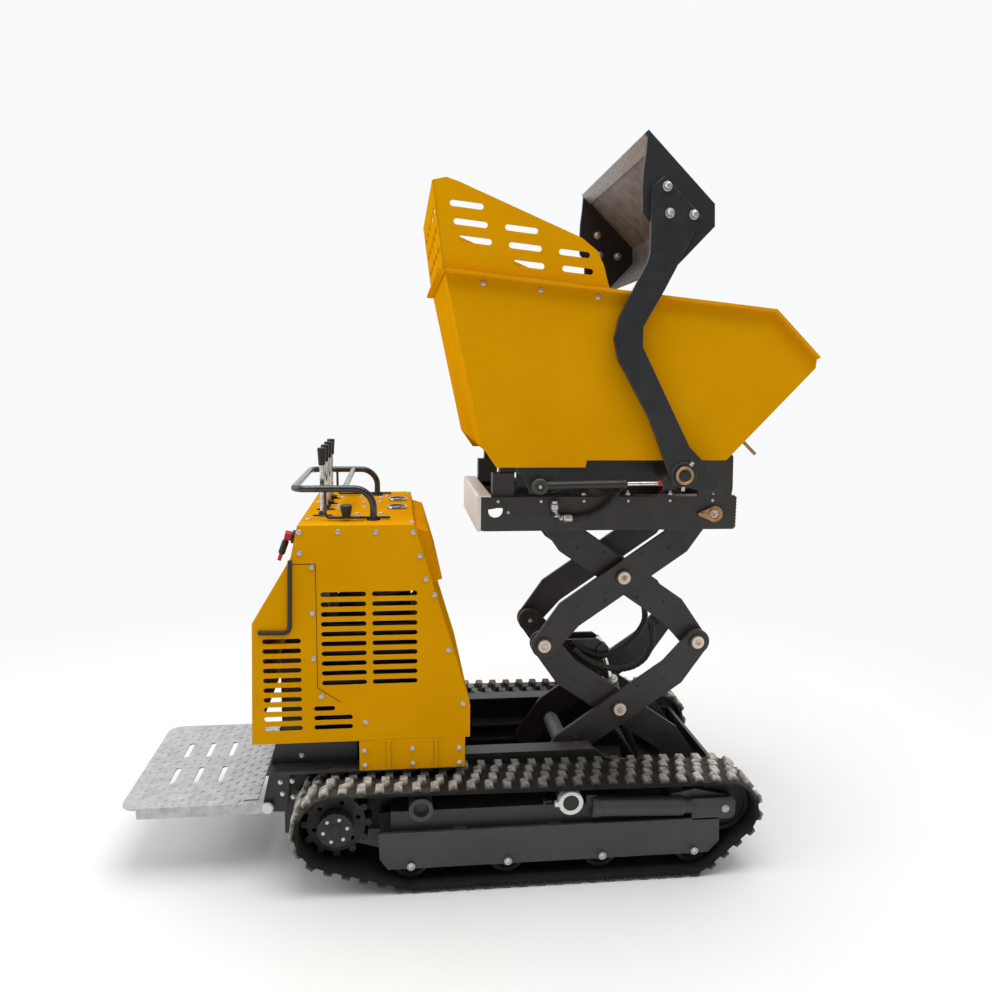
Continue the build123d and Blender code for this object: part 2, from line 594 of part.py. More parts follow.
wing = [on_rim(-69), (-100, 2080), (-65, 2088), (-31, 2078), (319, 1937), (365, 1902), (385, 1863),
        on_rim(404)]
slot_places = [(-8, 2016, 95), (3.5, 1967, 96), (16.5, 1921, 94), (147, 1955, 94), (158.5, 1907, 94),
               (169, 1859, 90), (299.5, 1893, 90), (310, 1847, 90)]
wing_face = outline(wing)
for x, z, length in slot_places:
    wing_face -= Pos(x, z) * Rot(0, 0, -5.5) * SlotOverall(length, 17)
guard = both(slab(wing_face, skip_in + 1, skip_half))
guard += sheet([(-100, 2080), (-69.4, 1845)], 4, -skip_in - 2, skip_in + 2)
for y in (-280, -140, 0, 140, 280):
    for z in (1905, 1960, 2015):
        guard -= Pos(-90, y, z) * Rot(0, 90, 0) * Rot(0, 0, 90) * extrude(SlotOverall(100, 18), 60, both=True)
nodes["skip_guard"] = guard

# Frame under the skip: two beams with the tipping lugs, loader pivots, ram brackets.
beam = [(110, 1252), (tip_x - 40, 1252), (tip_x - 40, floor_skip_z + 22), (704, floor_skip_z),
        (110, floor_skip_z)]
frame_side = cheek(beam, 206, 244)
frame_side += bar(tip_x, tip_z, 30, 226, 244) + block(tip_x - 42, tip_x, 226, 244, 1250, 1288)
frame_side -= bar(tip_x, tip_z, 15.6, 200, 250)
frame_side += bar(loader_x, loader_z, 30, 243, skip_half)
frame_side += bar(loader_x, loader_z, 6.5, skip_half - 1, loader_in - 1)   # thin where the ram's eye goes by
frame_side += bar(loader_x, loader_z, 22, loader_in - 2, loader_out + 9)
frame_side += bar(loader_x, loader_z, 29, loader_out + 9, loader_out + 13)
hanger = [(139, 1280), (278, 1280), (240, 1236), (232, 1208), (182, 1206), (169, 1245)]
frame_side += cheek(hanger, 374, 382, 4)
frame_side += bar(ram_rear_x, ram_rear_z, 9, 374, ram_y + 12)
frame_side += bar(ram_rear_x, ram_rear_z, 22, ram_y + 12, ram_y + 17)
skip_frame = both(frame_side)
skip_frame += block(150, 270, -382, 382, 1262, floor_skip_z)
skip_frame += block(500, 585, -208, 208, 1274, floor_skip_z)
tip_eye = (560.0, 1245.0)
skip_frame += both(cheek([(520, 1280), (600, 1280), (590, 1236), (572, 1224), (548, 1224), (530, 1236)],
                         26, 38, 4))
nodes["skip_frame"] = skip_frame

barrel, piston = ram(tip_foot, tip_eye, 0, 26, 14, 20, 12, 44, 0.76)
nodes["tip_barrel"], nodes["tip_rod"] = barrel, piston

# ---- loader arms, bucket and loader rams --------------------------------------------------
arm_points = [(505, 2073), (540, 2104), (655, 1998), (590, 1865), (552, 1791), (495, 1690),
              (496, 1632), (646, 1347), (732, 1262), (739, 1243), (737, 1226), (721, 1214),
              (604, 1235), (572, 1306), (520, 1432), (424, 1596), (410, 1655), (424, 1718),
              (500, 1867), (508, 1898)]
arm_shape = outline(arm_points, 7) - Pos(loader_x, loader_z) * Circle(22.6)
loader_arm = slab(arm_shape, loader_in, loader_out)
collar = Pos(loader_x, loader_z) * (Circle(38) - Circle(22.6))
loader_arm += slab(collar, loader_out, loader_out + 8)
crank = [(ram_front_x - 14, ram_front_z - 16), (ram_front_x + 25, ram_front_z - 16),
         (ram_front_x + 30, ram_front_z + 26), (ram_front_x - 2, ram_front_z + 26),
         (ram_front_x - 16, ram_front_z + 8)]
loader_arm += cheek(crank, loader_in, loader_in + 6, 4)
loader_arm += bar(ram_front_x, ram_front_z, 10, ram_y + 13, loader_in + 1)
loader_arm -= bar(loader_x, loader_z, 22.6, loader_in - 1, loader_out + 9)
for x, z in ((550, 2076), (560, 2004), (630, 2002)):
    loader_arm += bar(x, z, 11, loader_out - 1, loader_out + 8)
keep_sided("loader_arm", loader_arm)

lip, heel_top, heel_low, hem = (494, 2228), (694, 2036), (697, 1974), (595, 1867)
shell_half = loader_in - 12
shell = sheet([hem, heel_low, heel_top, lip][::-1], 7, -shell_half - 1, shell_half + 1)
bucket_side = [lip, heel_top, heel_low, hem, (509, 1976), (485, 2006), (483, 2068), (484, 2113),
               (490, 2166)]
bucket = shell + both(cheek(bucket_side, shell_half, loader_in))
nodes["bucket"] = bucket

barrel, piston = ram((ram_rear_x, ram_rear_z), (ram_front_x, ram_front_z), ram_y, 12, 6.5, 14, 9.6, 20, 0.68,
                     eye_r=8.6)
keep_sided("loader_barrel", barrel)
keep_sided("loader_rod", piston)

# ---- hydraulic hoses ----------------------------------------------------------------------
hose_r = 11.0
hose_y = -100.0
lower_route = [(610, hose_y, floor_z + 13), (610, hose_y, 225), (540, hose_y, 335), (462, hose_y, 420),
               (440, hose_y, 470)]
loop_route = [(388, hose_y, 634), (445, hose_y, 588), (530, hose_y, 558), (622, hose_y, 578),
              (676, hose_y, 636)]
deck_route = [(278, -deck_half - 16.5, 1168), (278, -deck_half - 16, 1122), (345, -deck_half - 16, 1114),
              (420, -deck_half - 16, 1132), (470, -deck_half - 16, 1196), (500, -deck_half + 32, 1202),
              (500, -deck_half + 40, 1184)]
nodes["hose_lower"] = pipe(lower_route, [60, 90, 40], hose_r)
nodes["hose_loop"] = pipe(loop_route, [55, 110, 70], hose_r)
nodes["hose_deck"] = pipe(deck_route, [22, 60, 70, 24, 7], 10)

# ---- export -------------------------------------------------------------------------------
os.makedirs("parts", exist_ok=True)
for name, shape in nodes.items():
    solids = shape.solids()
    whole = solids[0] if len(solids) == 1 else Compound(children=list(solids))
    export_step(whole, f"parts/{name}.step")
    print(name, len(solids))
print(len(nodes), "sub-parts")
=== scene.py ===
import math
import bmesh
import bpy
import numpy as np
from mathutils import Matrix


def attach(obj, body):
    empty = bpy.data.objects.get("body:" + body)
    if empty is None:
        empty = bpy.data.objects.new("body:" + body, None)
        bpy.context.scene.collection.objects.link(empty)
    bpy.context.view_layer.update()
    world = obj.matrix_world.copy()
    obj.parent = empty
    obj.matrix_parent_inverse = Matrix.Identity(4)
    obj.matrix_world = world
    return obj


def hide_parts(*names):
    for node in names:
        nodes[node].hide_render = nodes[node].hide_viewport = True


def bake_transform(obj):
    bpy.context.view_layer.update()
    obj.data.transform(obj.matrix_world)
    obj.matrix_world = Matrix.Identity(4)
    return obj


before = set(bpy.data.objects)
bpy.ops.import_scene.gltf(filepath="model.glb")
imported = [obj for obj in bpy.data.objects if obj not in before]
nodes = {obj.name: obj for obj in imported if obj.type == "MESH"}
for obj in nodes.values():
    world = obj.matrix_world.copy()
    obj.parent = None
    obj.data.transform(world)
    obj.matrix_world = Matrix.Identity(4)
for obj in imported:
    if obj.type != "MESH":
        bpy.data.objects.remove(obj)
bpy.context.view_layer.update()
show = bpy.context.scene.collection.objects.link
sides = (("left", 1), ("right", -1))

# ---- Where the machine stands: a pale studio floor ------------------------------------------------
# A sealed white floor that runs up into a white cyclorama, under one wide softbox overhead. The
# studio is brightest behind the machine and dimmer behind the viewer, a person standing beside it.


def srgb(code):
    """Linear colour of an sRGB hex code: each channel is divided by 12.92 when it is dark, and
    otherwise shifted by 0.055, divided by 1.055 and raised to the power 2.4."""
    c = np.array([int(code[n:n + 2], 16) for n in (1, 3, 5)]) / 255
    return (*np.where(c <= 0.04045, c / 12.92, ((c + 0.055) / 1.055) ** 2.4), 1.0)


def add(tree, kind, links=None, **settings):
    """One node of this kind; settings are its own properties, links are its sockets by name or
    number, each either a plain value or another node's output."""
    made = tree.nodes.new(kind)
    for key, value in settings.items():
        setattr(made, key, value)
    for key, value in (links or {}).items():
        if isinstance(value, bpy.types.NodeSocket):
            tree.links.new(value, made.inputs[key])
        else:
            made.inputs[key].default_value = value
    return made


def blank(name):
    """A new material, with its node tree and its shader."""
    made = bpy.data.materials.new(name)
    made.use_nodes = True
    return made, made.node_tree, made.node_tree.nodes["Principled BSDF"]


def noise(tree, place, scale, detail, roughness=0.5):
    """Cloudy noise over the piece's own coordinates, scale patches to the metre."""
    return add(tree, "ShaderNodeTexNoise", {"Vector": place.outputs["Object"], "Scale": scale, "Detail": detail,
                                            "Roughness": roughness}).outputs["Fac"]


def ranged(tree, value, low, high, to_low=0.0, to_high=1.0, **settings):
    """value carried from the range low to high onto to_low to to_high, and held at both ends."""
    return add(tree, "ShaderNodeMapRange", {0: value, 1: low, 2: high, 3: to_low, 4: to_high},
               **settings).outputs[0]


def times(tree, first, second):
    """Product of two values."""
    return add(tree, "ShaderNodeMath", {0: first, 1: second}, operation="MULTIPLY").outputs[0]


def mixed(tree, share, first, second):
    """Colour that goes from first to second as share goes from 0 to 1."""
    return add(tree, "ShaderNodeMix", {0: share, 6: first, 7: second}, data_type="RGBA").outputs[2]


def angles(count):
    """This many angles evenly round a circle, in radians."""
    return np.linspace(0, 2 * math.pi, count, endpoint=False)


def paint(finish, *names):
    """Give the CAD pieces of these names this finish."""
    for name in names:
        nodes[name].data.materials.clear()
        nodes[name].data.materials.append(finish)


eye = bpy.data.objects.new("eye", bpy.data.cameras.new("eye"))
eye.data.lens, eye.data.sensor_width = 30.65, 36.0
eye.data.clip_end = 60
yaw, pitch, roll = 0.118073, 0.138544, -0.011006
forward = np.array([math.sin(yaw) * math.cos(pitch), math.cos(yaw) * math.cos(pitch),
                    -math.sin(pitch)])
level_right = np.array([math.cos(yaw), -math.sin(yaw), 0.0])
level_down = np.cross(forward, level_right)
right = math.cos(roll) * level_right + math.sin(roll) * level_down
up = math.sin(roll) * level_right - math.cos(roll) * level_down
stand = Matrix(np.column_stack([right, up, -forward]).tolist()).to_4x4()
stand.translation = (-0.205, -2.8118, 1.5402)
eye.matrix_world = stand
show(eye)
bpy.context.scene.camera = eye
bpy.context.scene.view_settings.view_transform = "Standard"

room = bpy.data.worlds.new("studio")
room.use_nodes = True
air = room.node_tree
white = srgb("#F9FAFB")
bearing_of = add(air, "ShaderNodeSeparateXYZ", {0: add(air, "ShaderNodeTexCoord").outputs["Generated"]})
height_share = times(air, bearing_of.outputs["Z"], 0.7)
toward_back = add(air, "ShaderNodeMath", {0: bearing_of.outputs["Y"], 1: height_share})
glow = ranged(air, toward_back.outputs[0], -0.45, 0.35, 0.2, interpolation_type="SMOOTHSTEP")
backdrop = air.nodes["Background"]
backdrop.inputs["Color"].default_value = white
air.links.new(glow, backdrop.inputs["Strength"])
bpy.context.scene.world = room
softboxes = [("overhead", (0.5, -0.6, 4.6), (0.3, 0.1, 0.6), 3.4, 120),
             ("window", (-4.3, -1.0, 2.6), (0.0, 0.0, 1.1), 2.4, 40)]
for name, at, aim, width, power in softboxes:
    light = bpy.data.lights.new(name, "AREA")
    light.shape, light.size, light.size_y, light.energy = "RECTANGLE", width, width, power
    lamp = bpy.data.objects.new(name, light)
    away = np.subtract(at, aim) / np.linalg.norm(np.subtract(at, aim))
    across = np.cross((0.0, 1.0, 0.001), away)
    across /= np.linalg.norm(across)
    facing = Matrix(np.column_stack([across, np.cross(away, across), away]).tolist()).to_4x4()
    facing.translation = at
    lamp.matrix_world = facing
    show(lamp)

sealed_floor, tree, shader = blank("sealed white concrete")
place = add(tree, "ShaderNodeTexCoord")
tone = mixed(tree, noise(tree, place, 1.4, 4.0), srgb("#F4F4F3"), srgb("#EFEFED"))
tree.links.new(tone, shader.inputs["Base Color"])
shader.inputs["Roughness"].default_value = 0.8
# the floor turns into the glow of the cyclorama between 1.6 and 4.5 m from the machine
from_middle = add(tree, "ShaderNodeVectorMath", {0: place.outputs["Object"]}, operation="LENGTH")
far = ranged(tree, from_middle.outputs["Value"], 1.6, 4.5, interpolation_type="SMOOTHSTEP")
cyclorama = add(tree, "ShaderNodeEmission", {"Color": white, "Strength": 1.0})
seamless = add(tree, "ShaderNodeMixShader", {0: far, 1: shader.outputs[0], 2: cyclorama.outputs[0]})
tree.links.new(seamless.outputs[0], tree.nodes["Material Output"].inputs["Surface"])
spread = np.linspace(-16.0, 16.0, 7)
fx, fy = np.meshgrid(spread, spread + 3.0, indexing="ij")
floor_mesh = bpy.data.meshes.new("studio_floor")
corner = (np.arange(6)[:, None] * 7 + np.arange(6)).ravel()
floor_mesh.from_pydata(np.stack([fx, fy, 0 * fx - 0.0005], -1).reshape(-1, 3).tolist(), [],
                       np.stack([corner, corner + 7, corner + 8, corner + 1], 1).tolist())
floor_mesh.materials.append(sealed_floor)
studio_floor = bpy.data.objects.new("studio_floor", floor_mesh)
show(studio_floor)

# ---- Rubber tracks ---------------------------------------------------------------------------------
# Endless belts of black moulded rubber over steel cords, with two rows of staggered cranked lugs.
# Fresh from the mould the rubber is near black; road dust and a painted highlight grey the tops of the lugs,
# most on the upper run.


def coated(name, colour, shade, patch, grain, bump, rough, metal=0.0, gloss=0.0, dust_and_top_light=None, worn=None,
           edge=2.0, dust_and_top_light_attribute=None, sheen=0.5):
    """Finish of a made surface. colour and shade are mixed in soft patches of patch mm; roughness
    runs between the two values of rough with a pattern a third that size; the normal is stirred by
    grit grain mm wide and a 22nd of that high, times bump, and edges are rounded by edge mm. sheen
    is the specular level. dust_and_top_light is (colour, amount) laid on whatever faces up, or on the
    point attribute named by dust_and_top_light_attribute: dust on most finishes, painted top light on
    the amber coat, and part dust, part painted highlight on the track lugs. worn is
    the colour laid along edges: rubbed wear, and on the powder coats also a painted edge highlight."""
    made, tree, shader = blank(name)
    place = add(tree, "ShaderNodeTexCoord")
    patches = ranged(tree, noise(tree, place, 1000 / patch, 5.0, 0.62), 0.35, 0.68)
    hue = mixed(tree, patches, srgb(colour), srgb(shade))
    grit = noise(tree, place, 3000 / patch, 6.0, 0.7)
    polish = ranged(tree, grit, 0.3, 0.7, *rough)
    soft = add(tree, "ShaderNodeBevel", {"Radius": edge / 1000}, samples=4).outputs[0]
    facing = add(tree, "ShaderNodeNewGeometry").outputs["Normal"]
    # colour laid on upward faces: dust, and on the amber coat and the track lugs painted top light
    if dust_and_top_light:
        if dust_and_top_light_attribute:
            laid = add(tree, "ShaderNodeAttribute", attribute_name=dust_and_top_light_attribute).outputs["Fac"]
        else:
            level = add(tree, "ShaderNodeSeparateXYZ", {0: facing})
            laid = ranged(tree, level.outputs["Z"], 0.35, 1.0, 0.12)
        cover = times(tree, laid, ranged(tree, grit, 0.3, 0.62, 0.1))
        hue = mixed(tree, times(tree, cover, dust_and_top_light[1]), hue, srgb(dust_and_top_light[0]))
    # colour laid along edges: rubbed wear, and on the powder coats also a painted edge highlight
    if worn:
        turn = add(tree, "ShaderNodeVectorMath", {0: soft, 1: facing}, operation="DOT_PRODUCT")
        edge_wear_and_highlight_share = ranged(tree, turn.outputs["Value"], 0.985, 0.86)
        hue = mixed(tree, times(tree, edge_wear_and_highlight_share, ranged(tree, grit, 0.42, 0.6)), hue, srgb(worn))
    fine = noise(tree, place, 1000 / grain, 3.0)
    stirred = add(tree, "ShaderNodeBump", {"Height": fine, "Strength": bump, "Distance": grain / 22 / 1000,
                                           "Normal": soft})
    for socket, value in (("Base Color", hue), ("Roughness", polish), ("Normal", stirred.outputs[0])):
        tree.links.new(value, shader.inputs[socket])
    for socket, value in (("Metallic", metal), ("Coat Weight", gloss), ("Coat Roughness", 0.18),
                          ("Specular IOR Level", sheen)):
        shader.inputs[socket].default_value = value
    return made


def square_to(path, side):
    """Two unit directions square to a path at each of its points: side x tangent, and the one that
    is square to both."""
    tangent = np.gradient(path, axis=0)
    tangent /= np.linalg.norm(tangent, axis=1, keepdims=True)
    across = np.cross(np.broadcast_to(side, tangent.shape), tangent)
    across /= np.linalg.norm(across, axis=1, keepdims=True)
    return across, np.cross(tangent, across)


def carry(section, path, side, scale=None, capped=True):
    """A closed profile carried along a path. point(u, v) = path(u) + scale(u) * (a(v) * across(u)
    + b(v) * beside(u)), where across and beside are square to the path. When capped, the first and
    last rings shrink to a point, so both ends are flat and closed."""
    path, section = np.asarray(path, float), np.asarray(section, float)
    scale = np.ones(len(path)) if scale is None else np.asarray(scale, float)
    across, beside = square_to(path, side)
    ring = section[None, :, 0, None] * across[:, None] + section[None, :, 1, None] * beside[:, None]
    if capped:
        doubled = [0, *range(len(path)), -1]
        path, ring, scale = path[doubled], ring[doubled], np.concatenate([[0], scale, [0]])
    return path[:, None] + scale[:, None, None] * ring


def rod(section, points):
    """A profile carried along a path in mm whose bends lie in X and Z."""
    return carry(section, np.asarray(points, float) / 1000, (0, 1, 0))


def bar(half_wide, half_tall):
    """Rectangular profile, from half its width and half its height in mm."""
    return np.array([(-1, -1), (1, -1), (1, 1), (-1, 1)]) * (half_wide, half_tall) / 1000


def sheet(outline, middle, rings):
    """Flat plate whose outline lies in X and Z: for each (k, y) of rings, the outline drawn to k of
    its size about middle, at that y. All in mm."""
    outline, middle = np.asarray(outline, float), np.asarray(middle, float)
    return np.stack([np.insert(middle + k * (outline - middle), 1, y, axis=1) for k, y in rings]) / 1000


def at_y(y, spots):
    """Places in the plane of this y, out of their x and z."""
    return [(x, y, z) for x, z in spots]


def points_of(made):
    """The points of a piece's mesh."""
    flat = np.zeros(len(made.data.vertices) * 3)
    made.data.vertices.foreach_get("co", flat)
    return flat.reshape(-1, 3)


def mark(made, name, values):
    """Keep these values, one for each point, as a point attribute of this name."""
    made.data.attributes.new(name, "FLOAT", "POINT").data.foreach_set("value", values.astype(np.float32))


def piece(name, grids, finish, body, crease=32):
    """One mesh out of grids of points, each (copies..., rings, points per ring, xyz): every ring is
    joined to the next and closed on itself, doubled points at seams and poles are merged, and the
    faces of each shell are turned outwards. Edges sharper than crease degrees stay sharp."""
    points, quads, start = [], [], 0
    for grid in grids:
        grid = np.asarray(grid, float)
        grid = grid.reshape(-1, *grid.shape[-3:])
        copies, rings, around = grid.shape[:3]
        c, i, j = np.meshgrid(np.arange(copies), np.arange(rings - 1), np.arange(around), indexing="ij")
        base = start + c * rings * around
        here, after = base + i * around, base + (i + 1) * around
        turn = (j + 1) % around
        quads.append(np.stack([here + j, here + turn, after + turn, after + j], -1).reshape(-1, 4))
        points.append(grid.reshape(-1, 3))
        start += grid.size // 3
    points, quads = np.concatenate(points), np.concatenate(quads)
    spot, index = np.unique(np.round(points, 7), axis=0, return_inverse=True)
    quads = index.reshape(-1)[quads]
    mesh = bpy.data.meshes.new(name)
    rows = [list(dict.fromkeys(q)) for q in quads.tolist()]
    mesh.from_pydata(spot.tolist(), [], [r for r in rows if len(r) > 2])
    shell = bmesh.new()
    shell.from_mesh(mesh)
    bmesh.ops.recalc_face_normals(shell, faces=shell.faces)
    shell.to_mesh(mesh)
    shell.free()
    mesh.shade_smooth()
    mesh.set_sharp_from_angle(angle=math.radians(crease))
    mesh.materials.append(finish)
    made = bpy.data.objects.new(name, mesh)
    show(made)
    if body:
        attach(made, body)
    return made


# Moulded rubber: matt, near black, with a pale grey on the lug tops that is part dust, part painted highlight.
rubber = coated("moulded track rubber", "#242220", "#181716", 60, 4, 1.0, (0.78, 0.95),
                dust_and_top_light=("#D6D0C6", 1.0), dust_and_top_light_attribute="dust_and_top_light", edge=0.8, sheen=0.2)
# each wheel under the belt as x, z and the radius the belt's outside takes round it, in metres
wheels = [(-0.392, 0.205, 0.120), (0.814, 0.212, 0.100), (-0.168, 0.082, 0.068), (0.714, 0.082, 0.068)]
belt_inner, belt_outer, lug_tall, lug_pitch = 0.270, 0.450, 0.014, 0.054
bearing = np.linspace(0, 2 * math.pi, 2881)
reach = np.array([x * np.cos(bearing) + z * np.sin(bearing) + r for x, z, r in wheels])
held = np.array(wheels)[reach.argmax(0)]
outline = held[:, :2] + held[:, 2:] * np.stack([np.cos(bearing), np.sin(bearing)], 1)
travel = np.concatenate([[0], np.cumsum(np.linalg.norm(np.diff(outline, axis=0), axis=1))])
lug_count = 2 * round(travel[-1] / lug_pitch / 2)
belt_mid, half = (belt_inner + belt_outer) / 2, (belt_outer - belt_inner) / 2


def on_belt(distance):
    """Points, forward directions and outward directions of the belt at these distances round it."""
    spot, ahead, behind = [
        np.stack([np.interp(np.mod(distance + step, travel[-1]), travel, outline[:, n]) for n in (0, 1)], -1)
        for step in (0, 0.006, -0.006)]
    way = (ahead - behind) / np.linalg.norm(ahead - behind, axis=-1, keepdims=True)
    return spot, way, np.stack([way[..., 1], -way[..., 0]], -1)


for side_name, hand in sides:
    spot, way, out = on_belt(np.linspace(0, travel[-1], 361))
    # profile of the belt, 12 mm thick: flat outside, bevelled edges, and a path for the wheels that
    # lies 2 mm lower in the middle of the inside
    band = np.array([(0, -half + 0.004), (0, -0.045), (0.0, 0.0), (0, 0.045), (0, half - 0.004), (-0.002, half),
                     (-0.010, half), (-0.012, half - 0.004), (-0.012, 0.045), (-0.010, 0.03), (-0.010, -0.03),
                     (-0.012, -0.045), (-0.012, -half + 0.004), (-0.010, -half), (-0.002, -half)])
    belt = np.stack([spot[:, None, 0] + band[:, 0] * out[:, None, 0],
                     hand * (belt_mid + band[:, 1]) + 0 * spot[:, None, 0],
                     spot[:, None, 1] + band[:, 0] * out[:, None, 1]], -1)
    # one lug: a trapezoid bar 31 mm wide at its foot, cranked 17 mm in its middle
    lug_side = half - 0.006
    stations = np.array([-1, -1, -0.16, 0.16, 1, 1.0]) * lug_side / 2
    swell = np.array([0, 1, 1, 1, 1, 0])
    crank = 0.0085 * np.clip(stations / 0.006, -1, 1)
    foot = np.array([(-0.0155, -0.002), (-0.0115, lug_tall - 0.001), (-0.0105, lug_tall), (0.0105, lug_tall),
                     (0.0115, lug_tall - 0.001), (0.0155, -0.002)])
    centre_of = np.array([0, 0.004])
    profile = centre_of + swell[:, None, None] * (foot - centre_of)
    t = profile[..., 0] + crank[:, None]
    tall = profile[..., 1]
    lugs = []
    for row in (0, 1):
        at, way_at, out_at = on_belt((np.arange(lug_count) + 0.5 * row) * travel[-1] / lug_count)
        y_mid = belt_inner + 0.003 + row * (lug_side + 0.006) + lug_side / 2
        x = at[:, None, None, 0] + t * way_at[:, None, None, 0] + tall * out_at[:, None, None, 0]
        z = at[:, None, None, 1] + t * way_at[:, None, None, 1] + tall * out_at[:, None, None, 1]
        y = hand * (y_mid + stations[None, :, None] + 0 * x)
        lugs.append(np.stack([x, y, np.maximum(z, 0.0002)], -1))
    track = piece(f"belt_{side_name}", [belt] + lugs, rubber, "chassis", crease=24)
    flat = points_of(track)
    probe = bearing[::16]
    stand_off = (flat[:, :1] * np.cos(probe) + flat[:, 2:] * np.sin(probe) - reach.max(0)[::16]).max(1)
    # pale grey on the outermost lug faces: part dust, part painted highlight that grows with height; the outer
    # face of the upper run gets a painted top light as well
    dust_and_top_light = np.clip(stand_off / lug_tall, 0, 1) ** 3 * np.clip(0.4 + (flat[:, 2] - 0.12) / 0.2, 0.3, 1.4)
    mark(track, "dust_and_top_light", np.clip(dust_and_top_light + 0.10 * (flat[:, 2] > 0.25) * (stand_off > -0.003), 0, 1))
    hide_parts(f"track_{side_name}")

# ---- Wheels inside the tracks ----------------------------------------------------------------------
# Drive sprockets, idlers and road rollers: cast steel, turned where the belt runs, dipped in black
# primer. Running on gravel has greyed them. The sprocket is bolted to the motor's hub.
cast = coated("primed cast steel", "#2B2926", "#1B1A19", 45, 3, 0.6, (0.45, 0.75), metal=0.15,
              dust_and_top_light=("#6E675E", 0.5), worn="#77726B")
paint(cast, *[name for name in nodes if name.startswith(("drive_sprocket", "idler", "road_roller"))])

# Zinc-plated steel: pale, a little blue, softly shiny; every bolt head and washer has it.
zinc = coated("bright zinc plate", "#D9DBDA", "#B4B3AE", 9, 1.5, 0.25, (0.24, 0.42), metal=0.75,
              dust_and_top_light=("#A79E90", 0.25), edge=0.6)


def turned(profile, centres, axis, around=14):
    """Surface of revolution at each centre: point(u, v) = centre + height(u) * axis + radius(u) *
    (cos v * p + sin v * q), with p and q square to the axis. profile rows are (radius, height) in mm."""
    profile = np.asarray(profile, float) / 1000
    axis = np.asarray(axis, float) / np.linalg.norm(axis)
    p = np.cross(axis, (0.31, 0.52, 0.79))
    p /= np.linalg.norm(p)
    v = angles(around)
    ring = np.cos(v)[:, None] * p + np.sin(v)[:, None] * np.cross(axis, p)
    shape = profile[:, 1, None, None] * axis + profile[:, 0, None, None] * ring
    return np.asarray(centres, float).reshape(-1, 1, 1, 3) / 1000 + shape


hex_bolt = [(0, -1), (8.5, -1), (8.5, 0.8), (6.6, 1.1), (6.9, 5.2), (6.0, 6.2), (0, 6.2)]
for side_name, hand in sides:
    hub = (-392, hand * 430, 205)
    # six small bolts on a circle of 36 mm, 0.72 of the size of the others
    circle = np.array([(36 * math.cos(k), 0, 36 * math.sin(k)) for k in np.radians(60 * np.arange(6) + 10)])
    hub_bolts = 0.72 * turned(hex_bolt, [(0, 0, 0)], (0, hand, 0), 6) + (hub + circle)[:, None, None] / 1000
    boss = turned([(0, -1), (17, -1), (17, 3), (14, 5), (0, 5)], [hub], (0, hand, 0), 20)
    piece(f"sprocket_bolts_{side_name}", [hub_bolts], zinc, f"sprocket_{side_name}")
    piece(f"sprocket_boss_{side_name}", [boss], cast, f"sprocket_{side_name}")

# ---- Track frames ----------------------------------------------------------------------------------
# Each is a welded box beam with folded guard plates, powder coated in dark grey. Cap screws hold the
# roller pins, cream cast rings clamp the axle tubes, and a grease cylinder keeps the belt tight.
# The light grey along folds and edges is a painted highlight of the folds, with some rubbed paint.
guard_grey = coated("dark grey powder coat", "#434344", "#3A3A3B", 120, 3, 0.5, (0.42, 0.58),
                    dust_and_top_light=("#75726D", 0.18), worn="#8A8B8C", sheen=0.4)
cream = coated("cream enamel", "#F2F1EE", "#E9E6DF", 40, 4, 0.4, (0.35, 0.5), dust_and_top_light=("#B9B2A4", 0.2),
               worn="#A89F8E", edge=1.2, sheen=0.3)
black_plastic = coated("moulded black nylon", "#1D1D1E", "#141415", 30, 2, 0.3, (0.38, 0.55), edge=1.0)
dome = [(0, -1), (12, -1), (12, 0.8), (9.8, 1.2), (9.4, 4.0), (7.4, 6.6), (4.2, 7.6), (4.2, 5.0), (0, 5.0)]
for side_name, hand in sides:
    paint(guard_grey, f"track_frame_{side_name}")
    axle, tension_end = (317, hand * 441, 262), (236, hand * 412, 256)
    caps = turned(dome, [(x, hand * 438.5, 82) for x in (-168, 126, 420, 714)], (0, hand, 0), 14)
    fork_cap = turned(dome, [(812, hand * 430, 213)], (0, hand, 0), 14)
    piece(f"roller_caps_{side_name}", [caps, fork_cap], zinc, "chassis")
    ring = [(24.6, -26), (38, -26), (38, -1), (35.5, 1.6), (27, 1.6), (24.6, -1), (24.6, -26)]
    clamps = turned(ring, [axle], (0, hand, 0), 28)
    lip = rod(bar(7, 8), [(268, hand * 432, 258), (288, hand * 432, 260)])
    piece(f"axle_rings_{side_name}", [clamps, lip], cream, "chassis")
    core = turned([(0, -20), (24, -20), (24, -3), (21, -1), (0, -1)], [axle], (0, hand, 0), 24)
    piece(f"axle_plugs_{side_name}", [core], black_plastic, "chassis")
    screw_rod = carry(turned([(5, 0)], [(0, 0, 0)], (0, 0, 1), 10)[0, 0, :, :2],
                      np.array([tension_end, (264, hand * 412, 257)]) / 1000, (0, 1, 0))
    lock_nut = turned([(0, 0), (9, 0), (9, 7), (0, 7)], [tension_end], (1, 0, 0), 6)
    piece(f"tension_screw_{side_name}", [screw_rod, lock_nut], cast, "chassis")
    # grease cylinder: a tube with a clamped end collar, pushing a flat yoke plate that carries the axle
    cylinder = turned([(0, 0), (33, 0), (33, 22), (30.5, 24), (30.5, 284), (29, 286), (29, 290), (24, 292),
                       (24, 322), (0, 322)], [(386, hand * 415.5, 237)], (1, 0, -0.042), 28)
    piece(f"tension_cylinder_{side_name}", [cylinder], guard_grey, "chassis")
    yoke = [(704, 180), (832, 180), (844, 192), (844, 238), (832, 250), (704, 250)]
    faces = [(k, hand * y) for k, y in ((0, 421), (1, 421), (1, 429), (0.97, 430), (0, 430))]
    piece(f"idler_yoke_{side_name}", [sheet(yoke, (774, 215), faces)], guard_grey, "chassis")

